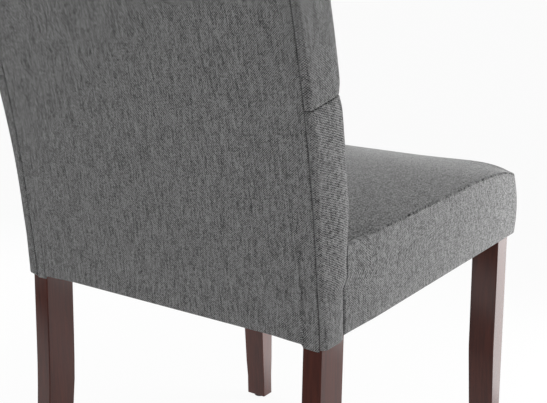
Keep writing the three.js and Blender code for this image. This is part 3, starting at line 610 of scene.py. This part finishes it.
# Columns of half a ring round the back: where each lies across the rear or the front
to_corner = [0.205, 0.2085, 0.212, 0.215, 0.218, beside_post]
front_columns = np.concatenate([[0], spaced(0, 0.205, cell), to_corner])


def half_ring(edge, station):
    """Columns from the middle of the rear round one side to the middle of the front. Each has its places
    across and in depth, the way in from the surface, the part that it is on, and its place there."""
    # The left side is a little fuller than the right
    fuller = (0.0018 if edge == panel_edges[1] else 0) * rise(station, 0.1, 0.25)
    widest = back_half - 0.0008 * seam_bell(station, pinch_reach) + fuller
    half = widest - side_swell(station, 0)
    front_half = widest - side_swell(station, 1)
    thick, drawn = band_thickness(station), hem_draw(station)
    flat = 0 * station
    rear_columns = np.append(front_columns[:-3] * (edge - 1e-4) / front_columns[-4], edge - 2e-5)
    columns = [(x + flat, drawn, 0, 1, "rear", x) for x in rear_columns]
    columns += [(edge + max(step, 0) + flat, drawn, 0, 1, "lip", step) for step in fold_steps]
    for angle in np.linspace(-math.pi / 2, 0, 8):
        x = half - rear_corner + rear_corner * math.cos(angle)
        depth = drawn + rear_corner * (1 + math.sin(angle))
        columns.append((x, depth, -math.cos(angle), -math.sin(angle), "corner", angle))
    for share in np.linspace(0, 1, 14)[1:-1]:
        depth = drawn * (1 - share) + rear_corner + (thick - rear_corner - front_corner) * share
        columns.append((widest - side_swell(station, share), depth, -1, 0, "side", share))
    for angle in np.linspace(0, math.pi / 2, 9):
        x = front_half - front_corner + front_corner * math.cos(angle)
        depth = thick - front_corner * (1 - math.sin(angle))
        columns.append((x, depth, -math.cos(angle), -math.sin(angle), "front_corner", angle))
    for x in front_columns[::-1]:
        share = x / (back_half - front_corner)
        depth = thick + panel_crown(station, share)
        columns.append(((front_half - front_corner) * share, depth, 0, -1, "front", x))
    return columns


def back_half_grid(edge, station, low, high, draw):
    """Outer and inner points of half a back panel, as places across and depths."""
    lowest = low < 0
    roll = turned_in(station - low, *((0.002, 0.0024) if lowest else ()))
    if high < back_top:
        roll = roll + turned_in(high - station)
    tail = station < tuck - 5e-6
    thick, foam_rear = band_thickness(station), post_front(station) + before_post
    # Towards the top everything draws in, and the rounded corners get tighter
    rear_lost = 0.8 * rear_corner * draw / top_corner
    front_lost = 0.8 * front_corner * draw / top_corner
    outer, inner = [], []
    for x, depth, in_x, in_depth, part, place in half_ring(edge, station):
        x, depth = x + in_x * roll, depth + in_depth * roll
        if part in ("rear", "lip"):
            x, depth = x * (1 - draw / back_half), depth + draw
        elif part == "corner":
            x = x - draw + rear_lost * (1 - math.cos(place))
            depth = depth + draw - rear_lost * (1 + math.sin(place))
        elif part == "side":
            x, depth = x - draw, depth + (draw - rear_lost) * (1 - place) - (draw - front_lost) * place
        elif part == "front_corner":
            x = x - draw + front_lost * (1 - math.cos(place))
            depth = depth - draw + front_lost * (1 - math.sin(place))
        else:
            x, depth = x * (1 - (draw - front_lost) / (back_half - front_corner)), depth - draw
        if part == "lip":
            lip_fold = np.where(station < panel_top, turned_in(place), 0)
            depth = np.maximum(depth, lip_fold + hem_draw(station))
        if part == "rear":
            depth = np.maximum(depth, turned_in(station - panel_top))
        # The inner side follows the posts' rear, then their outer faces, then the foam in front of them
        far = np.where(tail, thick - 0.001, foam_rear)
        if part in ("rear", "lip"):
            depth = np.minimum(depth, np.where(draw > 0, 1, deepest_fold))
            inner_x, inner_depth = np.minimum(x, beside_post), behind_post + 0 * x
        elif part == "corner":
            inner_x, inner_depth = beside_post + 0 * x, behind_post + 0 * x
        elif part == "side":
            inner_x, inner_depth = beside_foam + 0 * x, behind_post + (far - behind_post) * place
        elif part == "front_corner":
            inner_x, inner_depth = beside_foam + 0 * x, far
        else:
            inner_x, inner_depth = np.minimum(x, beside_foam), far
        outer.append(np.concatenate([x, depth + 0 * x], axis=1))
        inner.append(np.concatenate([inner_x + 0 * x, inner_depth + 0 * x], axis=1))
    return np.stack(outer, axis=1), np.stack(inner, axis=1)


def back_panel(name, low, high, replaced):
    """One panel of the front and sides as a closed pad, between two stations."""
    lowest, highest = low < 0, high >= back_top
    wide_steps = np.array([-1e-5, 0, 0.0003, 0.0008, 0.0014, 0.002])
    rows = [low + (wide_steps if lowest else fold_steps)]
    if lowest:
        plain_rows = spaced(low + wide_steps[-1], high - fold_radius, cell)
        rows += [plain_rows[np.abs(plain_rows - tuck) > 0.002]]
        rows += [tuck + wide_steps[:-1], high - fold_steps]
    elif highest:
        rows += [spaced(low + fold_radius, panel_top - fold_radius, cell), panel_top + fold_steps]
        rows += [[panel_top - 0.0007]]
    else:
        rows += [spaced(low + fold_radius, high - fold_radius, cell), high - fold_steps]
    station = np.unique(np.concatenate(rows))
    draw = 0 * station
    if highest:
        turn, turn_start = np.linspace(0, math.pi / 2, 10)[1:], back_top - top_corner
        station = np.concatenate([station[station < turn_start], turn_start + top_corner * np.sin(turn)])
        draw = np.concatenate([draw[: len(station) - len(turn)], top_corner * (1 - np.cos(turn))])
    station, draw = station[:, None], draw[:, None]
    halves = [back_half_grid(panel_edges[side], station, low, high, draw) for side in (1, -1)]
    outer, inner = (np.concatenate([a, (b * [-1, 1])[:, ::-1][:, 1:]], axis=1) for a, b in zip(*halves))
    parts = [column[-2:] for column in half_ring(panel_edges[1], station)]
    parts = parts + parts[::-1][1:]
    outer_station = station + 0 * outer[..., 0]
    past_post = outer_station - above_post
    inner_station = np.where(past_post > 0, above_post + 0.05 * past_post, outer_station)
    if highest:
        # The top is closed by rows that run in to a line along its middle, a hair short of touching
        rim = outer[-1]
        rim_x, rim_depth = rim[:, 0], rim[:, 1]
        line, middle = np.clip(rim_x, -0.2, 0.2), 0.5 * (rim_depth.min() + rim_depth.max())
        for share in (0.15, 0.35, 0.6, 0.85, 0.999):
            row = np.stack([rim_x * (1 - share) + line * share, rim_depth * (1 - share) + middle * share], 1)
            outer, inner = np.concatenate([outer, row[None]]), np.concatenate([inner, row[None]])
            fading = 1 - np.clip(np.abs(row[:, 0]) / 0.2, 0, 1) ** 4
            swell = 0.003 * math.sin(share * math.pi / 2) * fading
            outer_station = np.concatenate([outer_station, (back_top + swell)[None]])
            inner_station = np.concatenate([inner_station, inner_station[-1:]])
    if lowest:
        # The hem of the tails rises a little round their outer corners
        lift = 0.0022 * np.clip(1 - (station + hem_drop) / 0.03, 0, 1)
        lift = lift * rise(np.abs(outer[..., 0]), 0.214, 0.2265)
        outer_station, inner_station = outer_station + lift, inner_station + lift
    outside = back_place(outer[..., 0], outer_station, outer[..., 1])
    inside = back_place(inner[..., 0], inner_station, inner[..., 1])
    # The rear is open up to the rear panel's top, and the lowest front is open below the tuck
    kept = np.ones((outside.shape[0] - 1, len(parts) - 1), bool)
    closing = [True] * (outside.shape[0] - len(station))
    above_tuck = np.append(station[:-1, 0] > tuck - 2e-6, closing)
    above_opening = np.append(station[1:, 0] > panel_top + 5e-6, closing)
    for j, ((part, place), (other, other_place)) in enumerate(zip(parts, parts[1:])):
        if "rear" in (part, other) or (part == other == "lip" and min(place, other_place) < 0):
            kept[:, j] = above_opening if highest else False
        if part == other == "front" and lowest:
            kept[:, j] = above_tuck
    around = np.concatenate([[0], np.cumsum(np.linalg.norm(np.diff(outside[3], axis=0), axis=1))])
    from_seam = np.minimum(outer_station - low, (back_top if highest else high) - outer_station)
    if lowest:
        from_tuck = np.where(np.abs(outside[..., 0]) < 0.2199, outer_station - tuck, 1)
        from_seam = np.minimum(from_seam, from_tuck)
    held = 1 - rise(from_seam, 0.0015, 0.012) * rise(outer[..., 1], 0.004, 0.02)
    pad = closed_pad(name, outside, inside, kept, around - around.max() / 2, outer_station, replaced,
                     around=highest, held=held)
    settle(pad, 2.5, -0.02, 0.0025)
    return pad


def woven_cloth(name, yarn_widths, fleck_share, yarn_share, slub, pale, streaky, sheen=(0.25, 0.35)):
    """Plain weave of heathered yarns, dark one way and pale the other, laid along the piece's surface."""
    paint = bpy.data.materials.new(name)
    nodes = Nodes(paint)
    place = nodes.add("UVMap", {"uv_map": "weave"})
    across = nodes.add("SeparateXYZ", sockets={0: place}, output="X")
    along = nodes.add("SeparateXYZ", sockets={0: place}, output="Y")
    warp, weft = across / yarn_widths[0], along / yarn_widths[1]
    warp_yarn, weft_yarn = warp.floor(), weft.floor()
    over = (warp_yarn + weft_yarn) % 2

    def streak(yarn, run, length):
        """Tone of a spun yarn that changes along it, different for each yarn."""
        spot = nodes.add("CombineXYZ", sockets={0: yarn * 7.31, 1: run / length})
        return nodes.add("TexNoise", {"noise_dimensions": "2D"}, {"Vector": spot, "Scale": 1, "Detail": 2})

    crossing = nodes.add("CombineXYZ", sockets={0: warp_yarn, 1: weft_yarn})
    fleck = nodes.add("TexWhiteNoise", {"noise_dimensions": "2D"}, {"Vector": crossing}) - 0.5
    warp_streaks = (streak(warp_yarn, along, 0.005) - 0.5) * slub
    streaks = warp_streaks + (streak(weft_yarn, across, 0.004) - 0.5) * 0.25
    long_streaks = (streak(warp_yarn + 0.37, along, 0.022) - 0.5) * streaky
    # Painted shade: the colour is darkened where the piece's point attribute marks seams and creases
    sewn = nodes.add("Attribute", {"attribute_name": "sewn"}, output="Fac")
    tone = fleck * fleck_share + streaks + long_streaks + (over - 0.5) * yarn_share + 0.5 - sewn * 0.3
    stops = [(0.08, linear(8, 8, 8)), (0.92, linear(pale, pale, pale))]
    ramp = nodes.add("ValToRGB", {"stops": stops}, {0: tone})
    arch = abs((warp % 1) - 0.5) * over + abs((weft % 1) - 0.5) * (1 - over)
    bump = nodes.add("Bump", sockets={"Strength": 0.6, "Distance": 0.0003, "Height": 1 - arch * arch * 3})
    surface = {"Base Color": ramp, "Roughness": 0.92, "Normal": bump, "Specular IOR Level": 0.2}
    surface.update({"Sheen Weight": sheen[0], "Sheen Roughness": sheen[1]})
    shader = nodes.add("BsdfPrincipled", sockets=surface)
    nodes.add("OutputMaterial", sockets={0: shader})
    return paint


back_linen = woven_cloth("grey_linen_back", (0.00135, 0.00125), 0.45, 0.5, 0.4, 188, 0.5)
side_wadding = ("back_side_padding_left", "back_side_padding_right")
back_pads = (
    ("back_pad_lower", -hem_drop, seams[0] - half_seam_gap, ("back_cover_lower", *side_wadding)),
    ("back_pad_middle", seams[0] + half_seam_gap, seams[1] - half_seam_gap, ("back_cover_middle", "back_foam")),
    ("back_pad_upper", seams[1] + half_seam_gap, back_top, ("back_cover_upper",)),
)
for name, low, high, replaced in back_pads:
    pad = back_panel(name, low, high, replaced)
    pad.data.materials.append(back_linen)

# Outside back panel
# The flat rear of the back: one cut of the same cloth over thin wadding, its edges folded in and sewn to the
# folded edges of the side covers. Its lower edge is turned under the bottom rail and drawn round the legs.
right_edge, left_edge = -panel_edges[-1] + 0.0009, panel_edges[1] - 0.0009
panel_end = panel_top - 0.0003
post_inner, step_end = 0.1945, 0.1985
step_columns = np.array([0.1955, 0.1966, 0.1978, 0.199])
panel_columns = np.unique(np.concatenate([
    spaced(right_edge + fold_radius, left_edge - fold_radius, cell),
    right_edge + fold_steps, left_edge - fold_steps, -step_columns, step_columns]))
panel_rows = np.unique(np.concatenate([
    spaced(0.002, panel_top - 0.0017, cell), fold_steps, panel_end - fold_steps]))
x, station = np.meshgrid(panel_columns, panel_rows)
side_edge = np.minimum(x - right_edge, left_edge - x)
pull = np.maximum(turned_in(side_edge), turned_in(panel_end - station))
pull = np.maximum(pull, turned_in(station, fold_radius, 0.0018))
# The wadding stops at the posts' inner edges, and the seam allowance shows through as a faint step
ridge = 0.001 * (rise(np.abs(x), post_inner, step_end) - 0.6 * rise(np.abs(x), 0.203, 0.208))
pull = np.minimum(pull + hem_draw(station) + ridge * rise(station, 0.55, 0.1), deepest_fold)
# Painted shade: a thin dark line along each step, in the lower part of the panel
painted_step_shade = 0.6 * bell(np.abs(x) - step_columns[2], 0.0012) * (1 - rise(station, 0.08, 0.17))
# The lower edge hangs a little lower round the legs than between them
low_share = np.clip(1 - station / 0.03, 0, 1)
dip = hem_drop * rise(np.abs(x), post_inner, step_end) + 0.0014 * rise(np.abs(x), 0.15, 0.19)
lowered = station - (0.002 + np.minimum(dip, hem_drop)) * low_share
across_back = np.clip(x, right_edge, left_edge)
outside = back_place(across_back, lowered, pull)
inside = back_place(across_back, lowered, 0 * x + behind_post)
whole = np.ones((len(panel_rows) - 1, len(panel_columns) - 1), bool)
panel = closed_pad("outside_back", outside, inside, whole, panel_columns, panel_rows[:, None],
                   ("outside_back_panel", "outside_back_wadding"), sewn=painted_step_shade)
rear_linen = woven_cloth("grey_linen_outside_back", (0.00125, 0.00115), 0.45, 0.6, 0.45, 190, 0.8)
panel.data.materials.append(rear_linen)

# Seat cushion
# A foam block on the plywood deck under a crowned top cover, sewn to the side band at the sides and the front.
# Its rear edge is tucked down in front of the lower back pad.
seat_half, seat_front, seat_corner = 0.224, 0.490, 0.010
deck_top, seat_seam = 0.0752, 0.1005
tuck_gap, seam_gap = 0.0007, 0.0009
seat_fold, rear_fold = 0.0016, 0.009


def back_front(x, z):
    """How far forward the back reaches at a height above the hem, its corners rounded."""
    share = np.clip(x / (back_half - front_corner), -1, 1)
    beyond = np.clip(np.abs(x) - (back_half - front_corner), 0, front_corner)
    rounded = front_corner - np.sqrt(front_corner**2 - beyond**2)
    station = z + 0 * x
    for _ in range(7):
        depth = band_thickness(station) + panel_crown(np.maximum(station, tuck), share) - rounded
        behind, angle = back_slope(station)
        forward = behind - depth * np.cos(angle)
        station = z - depth * np.sin(angle)
    return forward


def seam_height(x, y):
    """Height of the seam round the seat; it sags along the front and dips at the front corners."""
    front = rise(-y, seat_front - 0.14, seat_front)
    to_corner = np.hypot(seat_half - np.abs(x), seat_front + y) - seat_corner / 2
    sag = 0.0055 + 0.003 * (1 - rise(np.abs(x), 0.06, 0.2))
    to_corner = np.maximum(0, to_corner)
    return seat_seam - sag * front - 0.0065 * bell(to_corner, 0.032) - 0.0035 * bell(to_corner, 0.012)


def seat_height(x, y):
    """Height of the crowned seat above the hem; it is drawn down beside the back's tails."""
    sides = 1 - np.clip(np.abs(x / seat_half), 0, 1) ** 2.4
    run = np.clip((seat_front + y) / 0.3, 0, 1)
    along = (1 - (1 - run) ** 2.1) * (1 - 0.24 * rise(y, -0.2, 0.1))
    drawn = 0.006 * bell(np.maximum(0, seat_half - np.abs(x)), 0.03) * bell(y + 0.045, 0.05)
    return seam_height(x, y) + sides * 0.019 * along - drawn


seat_steps = np.array([-1e-5, 0, 0.00015, 0.0005, 0.001, seat_fold])
corner_turns = np.linspace(0, math.pi / 2, 9)
# Rows run from the front edge to the rear, columns from side to side; both lie close together at the edges
front_ins = np.unique(np.concatenate([seat_steps, seat_corner * (1 - np.cos(corner_turns[2:]))]))
rear_ins = np.array([rear_fold, 0.0072, 0.0054, 0.0038, 0.0024, 0.0013, 0.0006, 0.0002, 0, -1e-5])
side_ins = np.concatenate([seat_steps, [0.0028, 0.0045, 0.0068, 0.0098]])
start = -seat_front + seat_corner
rows = [("front", value) for value in front_ins] + [("run", value) for value in np.linspace(0, 1, 94)[1:]]
rows += [("rear", value) for value in rear_ins]
grid_x, grid_y, from_rear = [], [], []
inner_share = np.concatenate([[0], spaced(0, 1, 1 / 50), [1]])
for part, value in rows:
    ahead_in = max(value, 0) if part == "front" else seat_corner
    to_turn = max(0, seat_corner - ahead_in)
    half = seat_half - seat_corner + math.sqrt(max(0, seat_corner**2 - to_turn**2))
    side = np.concatenate([(half - 0.0135) * inner_share, half - np.maximum(side_ins[::-1], 0)])
    x = np.concatenate([-side[::-1][:-1], side])
    rear_y = back_front(x, seat_seam + 0 * x) - tuck_gap
    if part == "front":
        y = -seat_front + max(value, 0) + 0 * x
    elif part == "run":
        y = start + (rear_y - rear_fold - start) * value
    else:
        y = rear_y - max(value, 0)
    grid_x.append(x)
    grid_y.append(y)
    from_rear.append(np.full_like(x, value if part == "rear" else 1))
x, y, from_rear = np.array(grid_x), np.array(grid_y), np.array(from_rear)
corner_x, corner_y = np.abs(x) - (seat_half - seat_corner), -y - (seat_front - seat_corner)
rounded = seat_corner - np.hypot(np.maximum(corner_x, 0), np.maximum(corner_y, 0))
straight = np.minimum(seat_half - np.abs(x), seat_front + y)
from_rim = np.where((corner_x > 0) & (corner_y > 0), rounded, straight)
from_rim[0], from_rim[:, 0], from_rim[:, -1] = -1, -1, -1
rear_turn = turned_in(from_rear, rear_fold - 0.0075 * rise(np.abs(x), 0.19, 0.215), 0.016)
z = seat_height(x, y) + seam_gap - np.maximum(turned_in(from_rim, seat_fold, 0.0048), rear_turn)
outside = np.stack([x, y + rear_face, z + hem], axis=-1)
# The underside lies on the deck, a little narrower than the top
under_y = (y + 0.21) * 0.97 - 0.21
inside = np.stack([x * 0.97, rear_face + under_y, 0 * z + deck_top + 0.0003 + hem], axis=-1)
middle_column = x.shape[1] // 2
run = np.hypot(np.diff(y[:, middle_column]), np.diff(z[:, middle_column]))
along_seat = np.concatenate([[0], np.cumsum(run)])[:, None]
held = 1 - rise(from_rim, 0.001, 0.012) * rise(from_rear, 0.002, 0.03)
# Painted shade darkens the cloth along the seam round the seat, less towards the rear
sewn = bell(np.maximum(from_rim, 0), 0.0009) * (0.6 - 0.4 * rise(y, -0.2, -0.07))
whole = np.ones((x.shape[0] - 1, x.shape[1] - 1), bool)
seat = closed_pad("seat_cushion", outside, inside, whole, x, along_seat, ("seat_top_cover", "seat_foam"),
                  held=held, sewn=sewn)
settle(seat, 2.5, -0.03, 0.003)
# Painted shade: the seat's cloth is given a darker palest tone than the back's, to darken its top
seat_linen = woven_cloth("grey_linen_seat", (0.0012, 0.0013), 0.62, 0.3, 0.3, 176, 0.3, (0.55, 0.24))
seat.data.materials.append(seat_linen)

# Seat side band
# One strip of the same cloth over wadding round the sides and front of the seat, sewn to the top cover above
# and turned under the rails below. Its ends are folded in against the back's tails.
end_fold, side_length = 0.003, 0.42
band_fold, swell = 0.0024, 0.0055
# Each column of the band has its share of the way to the back, its place, the way out from there, and its
# distance from the tail
end_steps = np.concatenate([[-1e-5, 0, 0.0003, 0.0009, 0.0017, end_fold], spaced(end_fold, side_length, cell)])
rim = [(1 - step / side_length, seat_half, start, 1.0, 0.0, step) for step in end_steps]
for turn in np.linspace(0, math.pi / 2, 13):
    place = (seat_half + seat_corner * (math.cos(turn) - 1), start - seat_corner * math.sin(turn))
    rim.append((0, *place, math.cos(turn), -math.sin(turn), 1))
for x in (*spaced(0, seat_half - seat_corner, cell)[::-1], 0.0):
    rim.append((0, x, -seat_front, 0.0, -1.0, 1))
rim = np.array(rim)
rim = np.concatenate([rim, (rim * [1, -1, 1, -1, 1, 1])[::-1][1:]])
share, rim_x, rim_y, out_x, out_y, from_tail = rim.T
share = np.minimum(share, 1)
top = seat_seam - 0.00015
hem_steps = np.array([-1e-5, 0, 0.0003, 0.0009, 0.0016, band_fold])
heights = np.concatenate([hem_steps, spaced(band_fold, top - seat_fold, 0.0036), top - seat_steps[::-1]])
bulge_levels = [0, 0.1, 0.26, 0.45, 0.62, 0.78, 0.9, 1]
bulge_shares = [0.56, 0.74, 0.94, 1, 0.9, 0.62, 0.32, 0.06]
seam_y = rim_y + (back_front(rim_x, seat_seam + 0 * rim_x) - tuck_gap - rim_y) * share
outside, inside = [], []
for height in heights:
    level_share = np.clip(height, 0, top) / top
    out = swell * np.interp(level_share, bulge_levels, bulge_shares)
    out = out * (0.3 + 0.7 * np.where(share > 0, rise(from_tail, 0, 0.07), 1))
    z = level_share * (seam_height(rim_x, seam_y) - 0.00015 - seam_gap)
    rear = back_front(rim_x + np.sign(rim_x) * out, z) - tuck_gap - 0.002 * (1 - rise(z, 0.045, 0.062))
    base_y = rim_y + (rear - rim_y) * share
    roll = turned_in(height, band_fold, 0.0022) + turned_in(top - height, seat_fold, 0.0042)
    roll = np.maximum(roll, turned_in(from_tail, end_fold - 0.0022 * rise(z, 0.045, 0.07), 0.004))
    outward = out - roll
    outside.append(np.stack([rim_x + outward * out_x, rear_face + base_y + outward * out_y, hem + z], axis=-1))
    # Its inner side lies against the rails, and above them against the foam
    inner = 0 * out - 0.0062
    if height < 0.068:
        inner = np.maximum(out - 0.0044, 0.2204 - np.abs(rim_x))
    inner = np.where(share > 0, inner, np.minimum(inner, out - 0.002))
    inner_y, inner_z = rear_face + base_y + inner * out_y, hem + np.maximum(z, 0.0006)
    inside.append(np.stack([rim_x + inner * out_x, inner_y, inner_z], axis=-1))
outside, inside = np.array(outside), np.array(inside)
band_u = np.concatenate([[0], np.cumsum(np.linalg.norm(np.diff(outside[12], axis=0), axis=1))])
from_edge = np.minimum(heights, top - heights)[:, None]
held = 1 - rise(from_edge, 0.001, 0.012) * rise(from_tail, 0.001, 0.01)
# Painted shade darkens the band along its top seam, less near its ends by the back
sewn = bell(np.maximum(top - heights, 0), 0.0009)[:, None] * (0.2 + 0.4 * rise(from_tail, 0.02, 0.15))
band_solids = ("seat_side_band", "seat_padding_left", "seat_padding_right", "seat_padding_front")
whole = np.ones((len(heights) - 1, len(rim) - 1), bool)
band = closed_pad("seat_side_band_cloth", outside, inside, whole, band_u, heights[:, None], band_solids,
                  held=held, sewn=sewn)
settle(band, 2.0, -0.03, 0.002)
# Painted light: the band's cloth is given a paler palest tone than the back's, to brighten its lit sides and
# front
band.data.materials.append(woven_cloth("grey_linen_band", (0.0015, 0.00135), 0.45, 0.5, 0.4, 196, 0.5))

# Dust cover
# Thin black spun cloth stapled across the underside of the seat frame and cut round the four legs. It closes
# the frame from below and hides the deck.
beside_rear, beside_front = 0.1957, 0.1840
before_rear, behind_front = rear_face - 0.0453, front_face + 0.0315
low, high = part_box("dust_cover")
cuts = [-beside_rear, beside_rear, -beside_front, beside_front]
dust_x = np.sort(np.concatenate([np.linspace(low[0], high[0], 60), cuts]))
dust_y = np.sort(np.concatenate([np.linspace(low[1], high[1], 60), [before_rear, behind_front]]))
x, y = np.meshgrid(dust_x, dust_y)
z = low[2] + 0.0002 + 0.0003 * (1 + np.sin(x * 47 + 2 * np.sin(y * 31)) * np.cos(y * 39))
middle_x, middle_y = (x[1:, 1:] + x[:-1, :-1]) / 2, (y[1:, 1:] + y[:-1, :-1]) / 2
by_rear = (np.abs(middle_x) > beside_rear) & (middle_y > before_rear)
by_front = (np.abs(middle_x) > beside_front) & (middle_y < behind_front)
dust = closed_pad("dust_cloth_underside", np.stack([x, y, z], -1), np.stack([x, y, z + 0.0003], -1),
                  ~(by_rear | by_front), dust_x, dust_y[:, None], ("dust_cover",))
spun = bpy.data.materials.new("dust_cloth")
nodes = Nodes(spun)
place = nodes.add("TexCoord", output="Object")
fibre = nodes.add("TexNoise", sockets={0: place, "Scale": 900, "Detail": 4})
tone = nodes.add("ValToRGB", {"stops": [(0.3, linear(16, 16, 17)), (0.7, linear(44, 44, 46))]}, {0: fibre})
bump = nodes.add("Bump", sockets={"Strength": 0.5, "Distance": 0.0002, "Height": fibre})
shader = nodes.add("BsdfPrincipled", sockets={"Base Color": tone, "Roughness": 0.9, "Normal": bump})
nodes.add("OutputMaterial", sockets={0: shader})
dust.data.materials.append(spun)

# Staples
# Wire staples of zinc plated steel, driven 50 mm apart through the edges of the dust cover into the rails.
# Their crowns lie along the edges.
crown_length, crown_width, crown_height, from_side = 0.0105, 0.0012, 0.0007, 0.009
middle_y = (low[1] + high[1]) / 2
crowns = []
for step in (-0.15, -0.1, -0.05, 0, 0.05, 0.1, 0.15):
    for inward, corner in ((from_side, low), (-from_side, high)):
        crowns.append((corner[0] + inward, middle_y + step, crown_width, crown_length))
        crowns.append((step, corner[1] + inward, crown_length, crown_width))
bpy.ops.object.select_all(action="DESELECT")
for number, (x, y, wide, deep) in enumerate(crowns):
    crown_place, crown_size = (x, y, low[2] + 0.0001), (wide, deep, crown_height)
    bpy.ops.mesh.primitive_cube_add(size=1, location=crown_place, scale=crown_size)
    if number == 0:
        staples = bpy.context.object
        bpy.ops.object.transform_apply(location=True, rotation=True, scale=True)
        bpy.ops.object.mode_set(mode="EDIT")
bpy.ops.mesh.select_all(action="SELECT")
bpy.ops.mesh.bevel(offset=0.00025, segments=2, affect="EDGES")
bpy.ops.object.mode_set(mode="OBJECT")
bpy.ops.object.shade_smooth_by_angle(angle=math.radians(50))
staples.name = "dust_cover_staples"
staples.data.materials.append(zinc)
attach(staples, "root")
